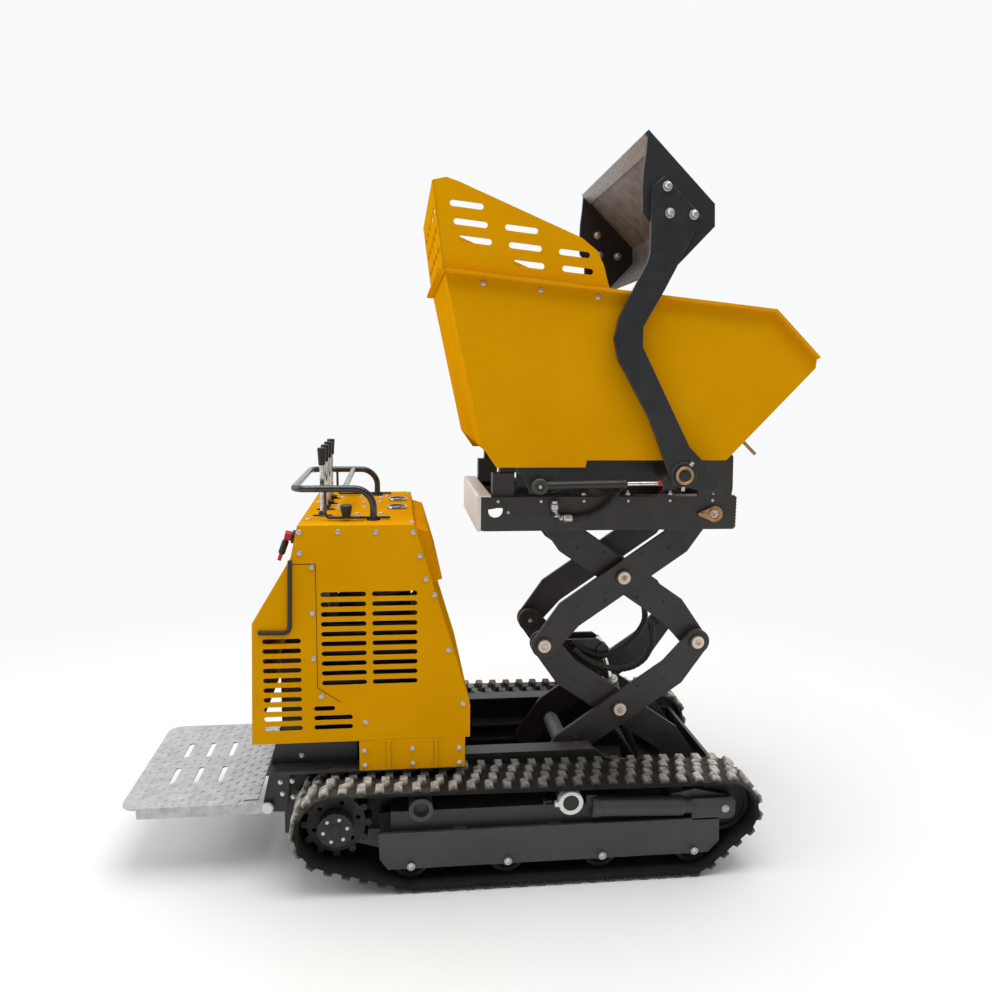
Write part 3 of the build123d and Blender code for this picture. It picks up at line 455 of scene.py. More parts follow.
# ---- Chassis ---------------------------------------------------------------------------------------
# Laser-cut and welded plate: floor pan, two side rails, front bulkhead with tie-down holes, engine
# floor. Satin black powder coat, dusty on its flats, with pale corners that are part rubbed paint and part
# painted highlight.
black_coat = coated("satin black powder coat", "#222326", "#191A1C", 90, 3, 0.35, (0.36, 0.55),
                    dust_and_top_light=("#77716A", 0.32), worn="#5B5A58")
paint(black_coat, "chassis_floor", "chassis_rail_left", "chassis_rail_right")

# ---- Engine floor and its skirts -------------------------------------------------------------------
# The floor plate and the two rear brackets are black; the two skirt boxes below the console are
# folded from the same amber sheet as the console, each with ribs and six flanged screws.
# The faint pale yellow laid on upward faces is painted top light; the bright yellow along edges is a painted
# edge highlight.
amber = coated("amber powder coat", "#DE9C06", "#D69503", 260, 6, 0.5, (0.48, 0.6),
               dust_and_top_light=("#D8B050", 0.05), worn="#F0C04A", edge=2.5, sheen=0.0)
paint(black_coat, "engine_deck")
# profiles of turned parts are rows of radius and height above the sheet they sit on, in mm
button = [(0, -1), (8.6, -1), (8.6, 0.6), (8.2, 1.6), (6.4, 4.2), (3.6, 5.2), (3.6, 2.6), (0, 2.6)]
for side_name, hand in sides:
    # the amber sheet lies 1 mm proud of the black box it is screwed to
    wall = [(-321, 360), (-2, 360), (-2, 455), (-321, 455)]
    faces = [(k, hand * y) for k, y in ((0, 366.2), (1, 366.2), (1, 367.4), (0, 367.4))]
    plate = sheet(wall, (-161.5, 407.5), faces)
    ribs = [carry(np.array([(-4, -5), (4, -5), (4, 4), (3, 5), (-3, 5), (-4, 4)]) / 1000,
                  np.array([(x, hand * 368, 363), (x, hand * 368, 452)]) / 1000, (0, hand, 0))
            for x in (-233, -90)]
    piece(f"skirt_sheet_{side_name}", [plate] + ribs, amber, "chassis")
    skirt_places = [(-306, 423), (-305, 376), (-162, 424), (-160, 377), (-20, 421), (-19, 374)]
    bracket_places = [(-566, 300), (-530, 302), (-560, 262), (-528, 250), (-500, 384)]
    screws = turned(button, at_y(hand * 368, skirt_places), (0, hand, 0), 12)
    rear_nuts = turned(hex_bolt, at_y(hand * 296, bracket_places), (0, hand, 0), 6)
    pin_head = turned([(0, -1), (17, -1), (17, 6), (14, 9), (0, 9)], [(-603, hand * 309.5, 224)],
                      (0, hand, 0), 20)
    piece(f"skirt_screws_{side_name}", [screws, rear_nuts], zinc, "chassis")
    piece(f"platform_pin_heads_{side_name}", [pin_head], cream, "chassis")
    # curved scraper sheet that keeps the belt's mud off the bracket
    sweep = np.linspace(0, 1, 15)
    strip = np.stack([-0.520 + 0.075 * sweep ** 1.8, 0 * sweep + hand * 0.325, 0.185 + 0.135 * sweep], 1)
    piece(f"scraper_{side_name}", [carry(bar(1, 26), strip, (0, 1, 0))], zinc, "chassis")

# ---- Console ---------------------------------------------------------------------------------------
# Folded 4 mm sheet, powder coated amber: one wrap-round hood and two louvred side panels held with
# flanged button screws. The coat is thick, so folded edges are soft; the bright line along them is a painted
# highlight.
paint(amber, "console_hood", "console_panel_left", "console_panel_right")
console_top = 1113
side_places = [(-485, 1094), (-375, 1094), (-266, 1093), (-157, 1091), (-485, 1033), (-451, 991), (-452, 854),
               (-451, 716), (-430, 598), (-138, 1020), (-121, 950), (-95, 901), (-53, 731), (-9, 561),
               (-300, 514)]
seam_black = coated("black door seal", "#151412", "#0F0E0D", 20, 2, 0.2, (0.6, 0.8), edge=0.5)
rod_black = coated("black dipped steel rod", "#1F1E1D", "#171616", 40, 3, 0.3, (0.35, 0.5), edge=1.0)


def round_line(corners, radius, steps=8):
    """A path of straight runs whose corners are arcs: each corner is replaced by points of the
    quadratic curve from radius mm before it to radius mm after it."""
    corners = np.asarray(corners, float)
    run = [corners[:1]]
    t = np.linspace(0, 1, steps)[:, None]
    for before, here, after in zip(corners[:-2], corners[1:-1], corners[2:]):
        a = here + (before - here) / np.linalg.norm(before - here) * radius
        b = here + (after - here) / np.linalg.norm(after - here) * radius
        run.append((1 - t) ** 2 * a + 2 * t * (1 - t) * here + t ** 2 * b)
    run.append(corners[-1:])
    return np.concatenate(run) / 1000


disc = np.stack([np.cos(angles(12)), np.sin(angles(12))], 1)
for side_name, hand in sides:
    screws = turned(button, at_y(hand * 366, side_places), (0, hand, 0), 12)
    piece(f"console_screws_{side_name}", [screws], zinc, "chassis")
    seam = round_line([(-441, hand * 366, 1000), (-441, hand * 366, 625), (-375, hand * 366, 580)], 3, 3)
    upper_seam = np.array([(-508, hand * 366, 1000), (-441, hand * 366, 1000)]) / 1000
    beads = [carry(bar(0.9, 0.6), line, (0, 1, 0)) for line in (seam, upper_seam)]
    piece(f"door_seal_{side_name}", beads, seam_black, "chassis")
    rod_line = round_line([(-513, hand * 371, 1012), (-518, hand * 371, 795), (-608, hand * 371, 798)], 22)
    piece(f"side_rod_{side_name}", [carry(disc * 0.0065, rod_line, (0, 1, 0))], rod_black, "chassis")

# Top of the console: small flanged screws round the levers and dials.
top_places = [(-470, -250), (-470, 250), (-395, -222), (-395, -30), (-395, 30), (-395, 222), (-470, 100),
              (-330, 235), (-315, 100), (-262, 205), (-262, 95), (-255, -150), (-330, -150), (-240, -235),
              (-160, -320), (-160, 320), (-240, 235), (-310, -20)]
piece("console_top_screws", [turned(button, [(x, y, console_top) for x, y in top_places], (0, 0, 1), 12)], zinc,
      "chassis")
white_collar = coated("white nylon", "#F2F0EA", "#E0DCD2", 20, 2, 0.2, (0.4, 0.55), edge=0.8)
lever_x, lever_ys = -433, (-188, -63, 63, 188)
slot_rims = [carry(np.array([(-2, -1), (2, -1), (2, 1.5), (-2, 1.5)]) / 1000,
                   np.array([(lever_x + 28 * math.cos(k), y + 12 * math.sin(k), 1114)
                             for k in np.linspace(0, 2 * math.pi, 33)]) / 1000, (0, 0, 1), capped=False)
             for y in lever_ys]
piece("lever_slot_rims", slot_rims, seam_black, "chassis")

# ---- Dials -----------------------------------------------------------------------------------------
# Two round gauges: a steel bezel, a black printed face with a plain scale and a pointer.
bezel_steel = coated("turned steel bezel", "#CFCFCC", "#A9A9A6", 6, 1, 0.2, (0.15, 0.28), metal=1.0, edge=0.6)
dial_black = coated("printed dial card", "#141516", "#1B1C1D", 12, 1, 0.1, (0.4, 0.5), gloss=0.6, edge=0.4)
for name, x, y in (("left", -201, 143), ("right", -205, -41)):
    paint(dial_black, f"gauge_{name}")
    rim = turned([(25, 5.5), (31, 0.5), (32.5, 3), (31.5, 8), (28.5, 9.6), (25.6, 8.6), (25, 5.5)],
                 [(x, y, console_top)], (0, 0, 1), 32)
    piece(f"gauge_bezel_{name}", [rim], bezel_steel, "chassis")
    ticks = []
    for k in np.radians(np.arange(-120, 121, 24)):
        line = np.array([(x - r * math.sin(k), y - r * math.cos(k), 1119.4) for r in (18, 23)]) / 1000
        ticks.append(carry(bar(0.8, 0.3), line, (0, 0, 1)))
    pointer = np.array([(x - 4, y - 5, 1120), (x + 11, y + 12, 1120)]) / 1000
    ticks.append(carry(bar(0.7, 0.4), pointer, (0, 0, 1)))
    piece(f"gauge_scale_{name}", ticks, white_collar, "chassis")

# ---- Levers, throttle and pull knobs ---------------------------------------------------------------
# Chromed round levers on ball joints with long tapered rubber grips; the throttle is a brass stem
# with a fluted nylon knob; choke and stop are T handles.
chrome = coated("hard chrome", "#E4E2DC", "#B9B09A", 14, 1, 0.15, (0.08, 0.22), metal=1.0, edge=0.5)
for n, y in enumerate(lever_ys):
    paint(chrome, f"lever_{n + 1}")
    grip = turned([(0, 1270), (9.4, 1270), (10.4, 1273), (11.2, 1290), (12.8, 1312), (13.4, 1318),
                   (13.0, 1322.4), (11.0, 1324), (0, 1324)], [(lever_x, y, 0)], (0, 0, 1), 20)
    boot = turned([(0, 1108), (19, 1108), (18, 1115), (13, 1119), (12, 1125), (8.4, 1129), (0, 1129)],
                  [(lever_x, y, 0)], (0, 0, 1), 18)
    piece(f"lever_grip_{n + 1}", [grip], black_plastic, f"lever_{n + 1}")
    piece(f"lever_boot_{n + 1}", [boot], black_plastic, f"lever_{n + 1}")
brass = coated("bare brass", "#C7A05A", "#A07E3E", 8, 1, 0.15, (0.22, 0.38), metal=1.0, edge=0.4)
paint(brass, "throttle")
flutes = angles(40)
knob_rings = [(0, 1124), (11, 1124), (11.6, 1127), (15.2, 1144), (17.4, 1156), (17.2, 1160), (14.0, 1163),
              (0, 1163)]
wavy = (1 + 0.04 * np.cos(10 * flutes))[:, None] * np.stack([np.cos(flutes), np.sin(flutes), 0 * flutes], 1)
knob = np.stack([(-355, -290, z) + r * wavy for r, z in knob_rings]) / 1000
piece("throttle_knob", [knob], black_plastic, "throttle")
paint(black_plastic, "choke_handle", "stop_handle")

# ---- Handlebar -------------------------------------------------------------------------------------
# Bent steel tube with a thin round guard rod on each side, gloss black over bright primer that shows
# as grey where hands have polished it.
tube_black = coated("gloss black on steel tube", "#4A4C50", "#2C2D30", 30, 3, 0.2, (0.16, 0.34), metal=0.55,
                    gloss=0.4, worn="#8B8D90", edge=0.8)
paint(tube_black, "handlebar")
feet = turned([(0, 0), (20, 0), (20, 3), (12, 5), (11, 9), (0, 9)],
              [(-275, y, console_top) for y in (-272, 272)], (0, 0, 1), 20)
piece("handlebar_feet", [feet], black_plastic, "chassis")

# ---- Battery switch --------------------------------------------------------------------------------
# A moulded black body on the sloping shoulder with a red key that turns, and the red lead behind it.
paint(black_plastic, "isolator_body")
key_red = coated("red glass-filled nylon", "#C2261C", "#A81D15", 12, 1.5, 0.3, (0.35, 0.5), edge=0.8)
paint(key_red, "isolator_key")
slant = np.array([-100, 0, 22]) / math.hypot(100, 22)
key_root = np.array([-505.7, -200, 1047]) + slant * 34
key_way = slant * 6 + np.array([-22, 0, -78])
sleeve = turned([(0, 0), (9, 0), (10.5, 3), (10.5, 40), (8.5, 44), (0, 44)], [key_root + 0.2 * key_way],
                key_way, 16)
piece("isolator_sleeve", [sleeve], black_plastic, "isolator_key")

# ---- Engine and tank under the console -------------------------------------------------------------
# Cast cylinder and sheet cowls, mostly in shadow behind the louvres: grey-black, oily and uneven.
casting = coated("oily grey casting", "#3C3B39", "#201F1E", 35, 5, 0.8, (0.4, 0.7), metal=0.3,
                 dust_and_top_light=("#6B655C", 0.4), worn="#8C8A86")
paint(casting, "power_pack")

# ---- Operator's platform ---------------------------------------------------------------------------
# Hot-dip galvanised tread plate with long rounded slots; short raised lozenges cross each other at
# right angles. Boots have scuffed it to a bright grey with dark scratches. A cream bent apron joins
# it to the hinge ears.
galvanised = coated("galvanised tread plate", "#C3C6C8", "#9EA2A5", 28, 5, 0.4, (0.3, 0.5), metal=0.55,
                    dust_and_top_light=("#DAD8D2", 0.35), worn="#E5E6E6", edge=1.2)
paint(galvanised, "platform")
across_x, across_y = np.meshgrid(np.arange(-1020, -640, 25.0), np.arange(-292, 293, 25.0), indexing="ij")
odd = (np.round((across_x + 1020) / 25) + np.round((across_y + 292) / 25)) % 2
rows = np.stack([across_x.ravel(), across_y.ravel(), odd.ravel()], 1)
slot_x, slot_y = np.array([-930, -856, -780]), np.array([95, -95])
near_slot = ((np.abs(rows[:, 0, None] - slot_x).min(1) < 20) & (np.abs(rows[:, 1, None] - slot_y).min(1) < 70))
corner_cut = (rows[:, 0] < -995) & (np.abs(rows[:, 1]) > 262)
hinge_notch = (rows[:, 0] > -692) & (np.abs(rows[:, 1]) > 266)
rows = rows[~near_slot & ~corner_cut & ~hinge_notch]
lean = np.where(rows[:, 2] > 0, math.radians(45), math.radians(-45))
u = np.array([-11, -9, -4, 0, 4, 9, 11.0])
width = np.array([0, 1.6, 3.0, 3.3, 3.0, 1.6, 0])
height = np.array([0, 0.9, 1.7, 1.9, 1.7, 0.9, 0])
ring_v = np.array([(-1, -0.3), (-0.7, 0.6), (0, 1), (0.7, 0.6), (1, -0.3), (0, -0.5)])
local = np.stack([np.repeat(u[:, None], 6, 1), width[:, None] * ring_v[:, 0],
                  height[:, None] * ring_v[:, 1]], -1)
cos, sin = np.cos(lean)[:, None, None], np.sin(lean)[:, None, None]
tread_x = rows[:, 0, None, None] + cos * local[..., 0] - sin * local[..., 1]
tread_y = rows[:, 1, None, None] + sin * local[..., 0] + cos * local[..., 1]
tread_z = 240.0 + local[..., 2] + 0 * tread_x
lozenges = np.stack([tread_x, tread_y, tread_z], -1) / 1000
piece("platform_tread", [lozenges], galvanised, "platform")

# ---- Scissor lift arms -----------------------------------------------------------------------------
# Flame-cut 14 mm plate, cranked near both ends, with cross tubes welded between the pair. Satin black
# over blasted steel that reads as warm dark grey; small tapped holes carry the hose clips.
# The pale grey along the cut edges is part rubbed paint, part painted highlight.
arm_coat = coated("satin black on blasted plate", "#37332F", "#2A2724", 70, 3, 0.45, (0.4, 0.6),
                  dust_and_top_light=("#6D645A", 0.35), worn="#6B655D", edge=2.0)
paint(arm_coat, "lower_inner_arms", "lower_outer_arms", "upper_outer_arms", "upper_inner_arms")

# The lower rear cross tube is a bought tube in blue-grey primer between the two outer arms.
tube_grey = coated("blue-grey primer", "#7B828C", "#666C75", 40, 3, 0.5, (0.4, 0.55), dust_and_top_light=("#8C8A86", 0.3),
                   worn="#A3A6AA")
# All the lift's pins lie half_run and half_rise apart, from the rear and front pins at low_z up.
half_run, half_rise, rear_x, low_z = 260, 225, 273, 222
middle_x, front_x, joint_z = rear_x + half_run, rear_x + 2 * half_run, low_z + 2 * half_rise
run, rise = half_run / math.hypot(half_run, half_rise), half_rise / math.hypot(half_run, half_rise)
cross_tube = turned([(0, -124), (27, -124), (27, 124), (0, 124)], [(rear_x + 110 * run, 0, low_z + 110 * rise)],
                    (0, 1, 0), 32)
piece("lift_cross_tube", [cross_tube], tube_grey, "lower_outer")

# Pin heads: turned discs in cream primer, each with a smear of orange grease on its centre.
greased, tree, shader = blank("cream primer with orange grease")
place = add(tree, "ShaderNodeTexCoord")
middle = add(tree, "ShaderNodeAttribute", attribute_name="middle").outputs["Fac"]
smear = times(tree, ranged(tree, noise(tree, place, 75.0, 3.0), 0.38, 0.5), middle)
tint = mixed(tree, smear, srgb("#EDE3CF"), srgb("#B4431A"))
grime = noise(tree, place, 240.0, 4.0)
stained = mixed(tree, ranged(tree, grime, 0.55, 0.75, 0.0, 0.6), tint, srgb("#9A8766"))
lumps = add(tree, "ShaderNodeBump", {"Height": grime, "Strength": 0.3, "Distance": 0.001})
tree.links.new(stained, shader.inputs["Base Color"])
tree.links.new(lumps.outputs[0], shader.inputs["Normal"])
shader.inputs["Roughness"].default_value = 0.45


def near_middle(made, centres, reach_mm):
    """Point attribute middle: 1 at a disc's centre, falling to 0 at reach_mm from it."""
    gap = points_of(made)[:, None, ::2] - np.array(centres)[None, :, ::2] / 1000
    mark(made, "middle", np.clip(1.3 - np.linalg.norm(gap, axis=2).min(1) / (reach_mm / 1000), 0, 1))


pin_cap = [(0, -2), (20.4, -2), (21.2, 0.4), (20.4, 2.6), (16.5, 3.2), (13.5, 2.0), (9, 2.1), (7.8, 4.4),
           (5.4, 5.6), (0, 5.8)]
inner_end = [(0, -4), (27, -4), (27, 5), (24, 8), (15, 8), (14, 6), (0, 6)]
for body, spots in (("lower_inner", [(middle_x, low_z + half_rise), (rear_x, joint_z)]),
                    ("upper_inner", [(middle_x, joint_z + half_rise), (front_x, joint_z)])):
    places = [(x, hand * 180, z) for x, z in spots for hand in (-1, 1)]
    caps = [turned(pin_cap, [p], (0, math.copysign(1, p[1]), 0), 28) for p in places]
    near_middle(piece(f"pin_caps_{body}", caps, greased, body), places, 9)
    ends = [turned(inner_end, [(x, hand * 128, z)], (0, -hand, 0), 24) for x, z in spots for hand in (-1, 1)]
    piece(f"pin_bosses_{body}", ends, arm_coat, body)
    bolts = [turned(hex_bolt, [(x, hand * 121, z)], (0, -hand, 0), 6) for x, z in spots for hand in (-1, 1)]
    piece(f"pin_bolts_{body}", bolts, zinc, body)

# small screws in the tapped holes along each arm, in pairs a third of the way from each end
black_screw = [(0, -1), (5.2, -1), (5.2, 1.2), (4.2, 2.2), (2.2, 2.2), (2.0, 1.0), (0, 1.0)]
along, offset = np.array([170, 250, 440, 520]), np.array([26, -20, 20, -26])
for body, low_x, foot_z, lean_to, y in (
        ("lower_inner", front_x, low_z, -1, 142), ("lower_outer", rear_x, low_z, 1, 172),
        ("upper_outer", rear_x, joint_z, 1, 172), ("upper_inner", front_x, joint_z, -1, 142)):
    sx = low_x + lean_to * (along * run - offset * rise)
    sz = foot_z + along * rise + offset * run
    heads = [turned(black_screw, np.stack([sx, 0 * sx + hand * y, sz], 1), (0, hand, 0), 8) for hand in (-1, 1)]
    piece(f"arm_screws_{body}", heads, cast, body)

# ---- Rams ------------------------------------------------------------------------------------------
# Honed tube barrels in black with a threaded gland, hard-chromed rods, forged eyes.
paint(black_coat, *[name for name in nodes if name.startswith(("lift_barrel", "tip_barrel", "loader_barrel"))])
paint(chrome, *[name for name in nodes if name.startswith(("lift_rod", "tip_rod", "loader_rod"))])
# each ram: name, body, foot and eye as x and z, y, gland's place along it, barrel and rod radius
ram_foot, ram_eye = (206, 1231), (587, 1238)
for name, body, foot, eye_at, y, share, body_r, rod_r in (
        ("lift", "lift_barrel", (633, 170), (499, 615), 0, 0.72, 30, 16),
        ("tip", "tip_barrel", (115, 1130), (560, 1245), 0, 0.76, 26, 14),
        ("loader_left", "loader_barrel_left", ram_foot, ram_eye, 403, 0.68, 12, 6.5),
        ("loader_right", "loader_barrel_right", ram_foot, ram_eye, -403, 0.68, 12, 6.5)):
    step = np.subtract(eye_at, foot)
    gland_at = np.add(foot, step * (share - 14 / np.linalg.norm(step)))
    gland = turned([(rod_r + 0.8, 2), (body_r + 0.6, 2), (body_r + 2.2, 4), (body_r + 2.2, 14), (body_r, 16),
                    (rod_r + 2.5, 18), (rod_r + 0.8, 18), (rod_r + 0.8, 2)],
                   [(gland_at[0], y, gland_at[1])], (step[0], 0, step[1]), 24)
    piece(f"{name}_gland", [gland], black_coat if body_r == 12 else zinc, body)
orange_seal = coated("orange polyurethane seal", "#D8451D", "#B5330F", 8, 1, 0.2, (0.4, 0.55), edge=0.5)
for side_name, hand in sides:
    tip_seal = turned([(0, -6), (7.6, -6), (8.2, 0), (7.6, 6), (0, 6)], [(568, hand * 403, 1237.6)],
                      (1, 0, 0.02), 16)
    piece(f"loader_rod_seal_{side_name}", [tip_seal], orange_seal, f"loader_rod_{side_name}")

# ---- Deck ------------------------------------------------------------------------------------------
# Welded channel frame on top of the lift, satin black. Rows of small screws hold its hose clips, a
# gold passivated plate locks each front pivot pin, a strip of knobbly rubber guards the front end.
paint(arm_coat, "deck")
paint(cream, "deck_bumper")
gold = coated("gold passivated zinc", "#C79E74", "#9C7448", 14, 1.5, 0.3, (0.3, 0.5), metal=0.7,
              dust_and_top_light=("#7E6547", 0.3), worn="#DCC6A4", edge=0.8)
small = [(0, -1), (5.4, -1), (5.4, 1), (4.4, 3), (0, 3.4)]
drop_angle = angles(40)
for side_name, hand in sides:
    pivot = (793, hand * 272, 1122)
    heads = turned(small, [(x, hand * 262, 1165) for x in (104, 238, 373, 514, 649, 788)], (0, hand, 0), 10)
    nuts = turned(hex_bolt, [(x, hand * 256, 1184) for x in (373, 513, 650, 790)], (0, 0, 1), 6)
    tall = turned([(0, 0), (4, 0), (4, 14), (2.8, 16), (0, 16)],
                  [(x, hand * 256, 1182) for x in (513, 650, 790)], (0, 0, 1), 8)
    dot = turned(small, [(136, hand * 262, 1131)], (0, hand, 0), 10)
    piece(f"deck_screws_{side_name}", [heads, nuts, tall, dot], zinc, "deck")
    # teardrop: a circle of 27 mm whose rear side is drawn out to a point 54 mm behind the pin
    rear = np.clip(-np.cos(drop_angle), 0, 1)
    drop = np.stack([793 + 27 * np.cos(drop_angle) * (1 + rear ** 3),
                     1122 + 26.5 * np.sin(drop_angle) * (1 - 0.25 * rear)], 1)
    lock = sheet(drop, (793, 1122), [(k, hand * y) for k, y in ((0, 268.1), (0.94, 268.1), (1.0, 269.2),
                                                                (1.0, 271.0), (0.97, 272.2), (0, 272.2))])
    pin_ring = turned([(14, -1), (20.5, -1), (20.5, 3), (18, 4.6), (15.5, 4.6), (14, 2.5), (14, -1)], [pivot],
                      (0, hand, 0), 24)
    lock_nut = turned(hex_bolt, [(793 - 38, hand * 272, 1122)], (0, hand, 0), 6)
    piece(f"pivot_locks_{side_name}", [lock, pin_ring, lock_nut], gold, "deck")
    centre_bolt = turned([(0, -1), (13, -1), (13, 1.5), (8, 2.5), (7, 4.5), (0, 4.5)], [pivot],
                         (0, hand, 0), 18)
    near_middle(piece(f"pivot_cores_{side_name}", [centre_bolt], greased, "deck"),
                [pivot], 10)
    hub = turned([(0, -1), (24, -1), (24, 5), (20, 9), (13, 10), (12, 7), (8, 7), (7, 10), (0, 10)],
                 at_y(hand * 420, [ram_foot]), (0, hand, 0), 24)
    piece(f"ram_hub_{side_name}", [hub], arm_coat, "skip")
    core = turned(small, at_y(hand * 429, [ram_foot]), (0, hand, 0), 12)
    piece(f"ram_hub_core_{side_name}", [core], zinc, "skip")
knob_z, knob_y = np.meshgrid(np.arange(1082, 1172, 11.0), np.arange(-252, 253, 14.0), indexing="ij")
knobs = turned([(0, -2), (5.6, -2), (5.0, 2.6), (2.8, 4.6), (0, 5)],
               np.stack([0 * knob_z.ravel() + 867, knob_y.ravel(), knob_z.ravel()], 1), (1, 0, 0), 6)
piece("deck_front_rubber", [knobs], rubber, "deck")

# ---- Skip ------------------------------------------------------------------------------------------
# Folded and seam-welded 5 mm sheet in the same amber coat, with a flat rolled rim. The inside has
# been scratched by its loads. The slotted guard above the rear rim is a second folded sheet.
paint(amber, "skip_tub", "skip_guard")
# the rim runs from x -69, z 1841 at the rear down to x 901, z 1749 at the front
rim_slope = (1749 - 1841) / (901 + 69)
spots = [(x, 1841 + rim_slope * (x + 69) - 26) for x in (40, 205, 370)]
for side_name, hand in sides:
    bolts = turned(button, at_y(hand * 388, spots), (0, hand, 0), 12)
    piece(f"skip_bolts_{side_name}", [bolts], zinc, "skip")
paint(black_coat, "skip_frame")
webs = [rod(bar(24, 5), [(165, hand * 220, 1228.5), (730, hand * 220, 1228.5)])
        for hand in (-1, 1)]
piece("skip_frame_webs", webs, black_coat, "skip")
latch_line = np.array([(898, -200, 1354), (905, -200, 1347), (948, -200, 1306)]) / 1000
piece("skip_latch_rod", [carry(disc * 0.0055, latch_line, (0, 1, 0))], gold, "skip")

# ---- Loader arms -----------------------------------------------------------------------------------
# Profile-cut 12 mm plate, satin black. A gold passivated ring keeps each arm on its hub and three
# dome nuts hold the bucket.
# The pale grey along the cut plate edges is a painted highlight of their lit faces, with some rubbed paint.
loader_coat = coated("satin black on cut plate", "#232426", "#1B1C1E", 90, 3, 0.35, (0.34, 0.5),
                     dust_and_top_light=("#77716A", 0.15), worn="#8E8E8C", edge=2.2)
bucket_places = [(550, 2076), (560, 2004), (630, 2002)]
dome_nut = [(0, -1), (14, -1), (14, 2), (11.5, 2.6), (11.5, 7), (10, 12), (6.5, 15.5), (0, 16.8)]
for side_name, hand in sides:
    paint(loader_coat, f"loader_arm_{side_name}")
    hub = (631, hand * 443, 1264)
    ring = turned([(18.5, -1), (27, -1), (27, 1.8), (25.2, 4.0), (20.6, 4.0), (18.5, 2), (18.5, -1)], [hub],
                  (0, hand, 0), 32)
    cap = turned([(0, -1), (16.5, -1), (16.5, 0.8), (12, 1.6), (0, 1.6)], [hub], (0, hand, 0), 24)
    piece(f"loader_ring_{side_name}", [ring], gold, "skip")
    piece(f"loader_hub_cap_{side_name}", [cap], black_coat, "skip")
    clips = [rod(bar(5, 2), [(631 + r * math.cos(k), hand * 440, 1264 + r * math.sin(k))
                                        for r in (33, 46)]) for k in np.radians([60, 265])]
    nuts = turned(dome_nut, at_y(hand * 430, bucket_places), (0, hand, 0), 18)
    piece(f"loader_nuts_{side_name}", [nuts] + clips, zinc, "loader")

# ---- Bucket ----------------------------------------------------------------------------------------
# Rolled hot-band steel shell between two black end plates, with a cutting edge welded along its
# lip; gravel has worn the shell to streaky bare grey and left the plates' paint alone.
worn_steel = coated("gravel-worn steel", "#7C7E7E", "#565757", 38, 4, 0.8, (0.34, 0.55), metal=0.2,
                    dust_and_top_light=("#9C9D9A", 0.35), worn="#C4C4C0", edge=1.5)
ground_edge = coated("ground steel edge", "#9C9E9D", "#76787A", 12, 2, 0.6, (0.3, 0.45), metal=0.6,
                     worn="#D8D8D4", edge=1.0)
tree = worn_steel.node_tree
shader = tree.nodes["Principled BSDF"]
bare = shader.inputs["Base Color"].links[0].from_socket
sideways = add(tree, "ShaderNodeSeparateXYZ", {0: add(tree, "ShaderNodeTexCoord").outputs["Object"]})
from_centre = add(tree, "ShaderNodeMath", {0: sideways.outputs["Y"]}, operation="ABSOLUTE")
# 1 on the shell and 0 on the end plates, whose inner faces lie 405.5 mm from the middle
shell_share = add(tree, "ShaderNodeMath", {0: from_centre.outputs[0], 1: 0.4055},
                  operation="LESS_THAN").outputs[0]
tree.links.new(mixed(tree, shell_share, srgb("#1F2022"), bare), shader.inputs["Base Color"])
tree.links.new(times(tree, shell_share, 0.2), shader.inputs["Metallic"])
paint(worn_steel, "bucket")
lip_way = np.array([494 - 694, 0, 2228 - 2036]) / math.hypot(200, 192)
lip_out = np.array([lip_way[2], 0, -lip_way[0]])
flat_bar = np.array([(0, -2), (46, -2), (46, 6), (2, 6), (0, 4)]) / 1000
edge_line = np.array([(494, y, 2228) for y in (-404, 404)]) / 1000
blade = np.stack([edge_line[k][None] - flat_bar[:, :1] * lip_way[None] + 0.0005 * lip_way
                  - (flat_bar[:, 1:] + 0.007) * lip_out[None] for k in (0, 1)])
blade = np.concatenate([blade[:1].mean(1, keepdims=True) + 0 * blade[:1], blade,
                        blade[1:].mean(1, keepdims=True) + 0 * blade[1:]])
piece("bucket_cutting_edge", [blade], ground_edge, "loader")
inner_nuts = [turned(dome_nut, at_y(hand * 404.5, bucket_places), (0, -hand, 0), 18) for hand in (-1, 1)]
piece("bucket_inner_nuts", inner_nuts, zinc, "loader")

# ---- Hydraulic hoses -------------------------------------------------------------------------------
# Two-ply rubber hoses, each wound in a black spiral guard. Four of them reach from one moving frame
# to the next; the deck's hose ends in a swaged zinc elbow.
wrapped = coated("spiral-wrapped hose", "#201F1E", "#161514", 25, 2, 0.3, (0.5, 0.7), dust_and_top_light=("#6F6960", 0.3),
                 edge=0.8)


def smooth_route(points, count):
    """Catmull-Rom curve: between two neighbouring points it is the cubic whose slope at each is half
    the step between that point's own neighbours."""
    p = np.asarray(points, float) / 1000
    p = np.concatenate([[2 * p[0] - p[1]], p, [2 * p[-1] - p[-2]]])
    s = np.linspace(0, len(p) - 3 - 1e-9, count)
    k, t = np.floor(s).astype(int), (s % 1)[:, None]
    a, b, c, d = p[k], p[k + 1], p[k + 2], p[k + 3]
    return 0.5 * (2 * b + (c - a) * t + (2 * a - 5 * b + 4 * c - d) * t ** 2 + (3 * b - a - 3 * c + d) * t ** 3)


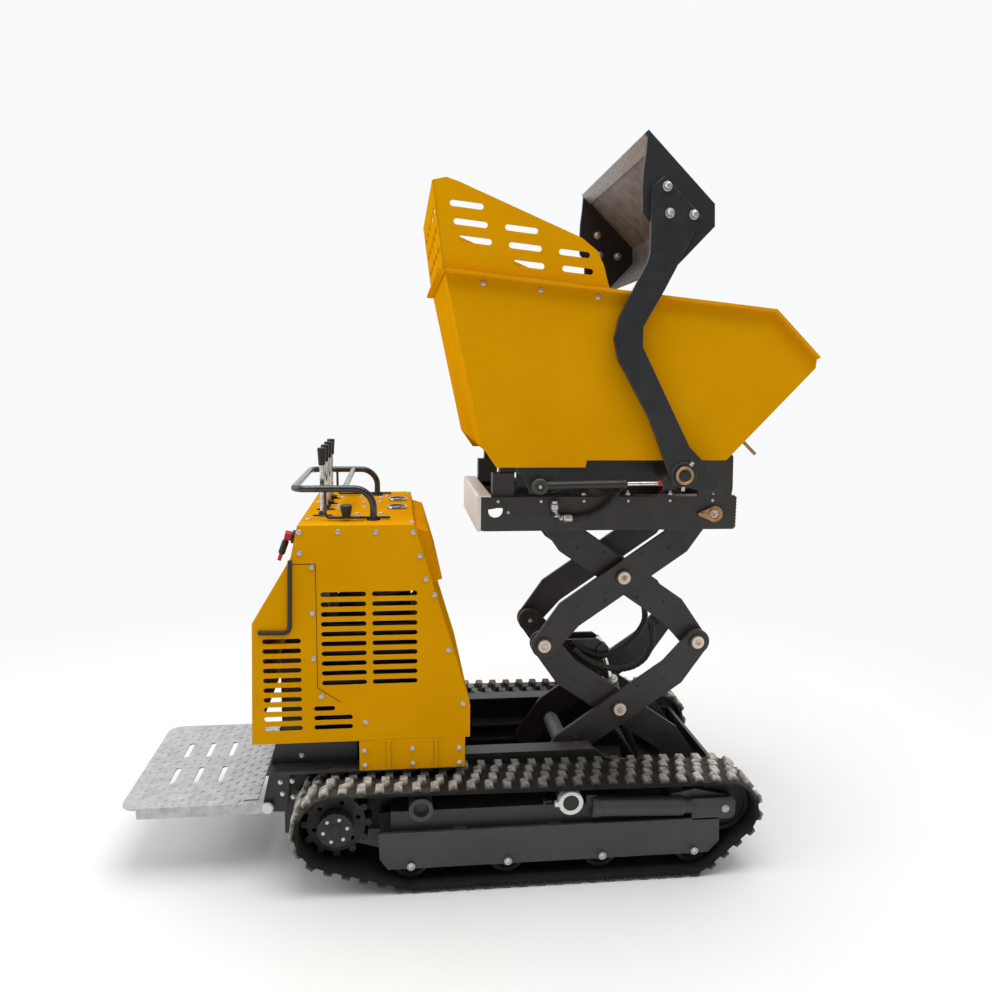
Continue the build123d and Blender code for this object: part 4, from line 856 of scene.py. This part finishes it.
def hose(path, radius, side, turn_pitch=0.016, around=16):
    """Round tube whose skin is a wound strip: radius(u, v) is the hose's own, less a groove up to
    1.8 mm deep once in every turn, one turn for every turn_pitch metres."""
    across, beside = square_to(path, side)
    length = np.concatenate([[0], np.cumsum(np.linalg.norm(np.diff(path, axis=0), axis=1))])
    v = angles(around)
    phase = (length[:, None] / turn_pitch + v / (2 * math.pi)) % 1
    thick = radius - 0.0018 * np.clip((phase - 0.75) / 0.1, 0, 1) * np.clip((1.0 - phase) / 0.1, 0, 1)
    thick[[0, -1]] = 0
    skin = np.cos(v)[:, None] * across[:, None] + np.sin(v)[:, None] * beside[:, None]
    return path[:, None] + thick[..., None] * skin


def wound(name, route, count, radius, body=None, side=(0, 1, 0)):
    """One hose with its spiral guard along a route in mm."""
    return piece(name, [hose(smooth_route(route, count), radius, side)], wrapped, body)


lower_route = [(610, -100, 125), (610, -100, 225), (540, -100, 335), (462, -100, 420), (440, -100, 470)]
loop_route = [(388, -100, 634), (430, -100, 598), (505, -100, 566), (575, -100, 562), (628, -100, 588),
              (656, -100, 636), (659, -100, 680), (652, -100, 718)]
far_loop_route = [(388, -60, 646), (440, -60, 610), (500, -60, 596), (566, -60, 622), (612, -60, 664),
                  (642, -60, 716), (640, -60, 772)]
base_route = [(520, -70, 356), (556, -70, 322), (580, -70, 272), (594, -70, 200), (602, -70, 126)]
deck_route = [(278, -278.5, 1160), (278, -278, 1132), (292, -278, 1117), (345, -278, 1115), (400, -278, 1126),
              (448, -278, 1158), (468, -276, 1187), (488, -252, 1200), (500, -230, 1197), (500, -222, 1186)]
lower_hose = wound("hose_lower_wrap", lower_route, 240, 0.0105)
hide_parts("hose_lower")
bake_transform(lower_hose)
loop_hose = wound("hose_loop_wrap", loop_route, 200, 0.0105)
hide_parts("hose_loop")
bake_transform(loop_hose)
far_loop = wound("hose_far_loop_wrap", far_loop_route, 200, 0.0105)
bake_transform(far_loop)
base_hose = wound("hose_base_wrap", base_route, 120, 0.0125)
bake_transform(base_hose)
deck_hose = wound("hose_deck_wrap", deck_route, 260, 0.0098, "deck", (1, -1, 0.3))
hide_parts("hose_deck")
elbow_line = smooth_route([(278, -278.5, 1168), (278, -278, 1140), (282, -278, 1124), (296, -278, 1116),
                           (318, -278, 1114.6), (332, -278, 1114.4)], 40)
ring_no = np.arange(40)
swell = 0.0098 + 0.0030 * ((ring_no > 2) & (ring_no < 8)) + 0.0028 * (ring_no > 27)
elbow = carry(disc, elbow_line, (0, 1, 0), scale=swell)
piece("hose_deck_elbow", [elbow], zinc, "deck")
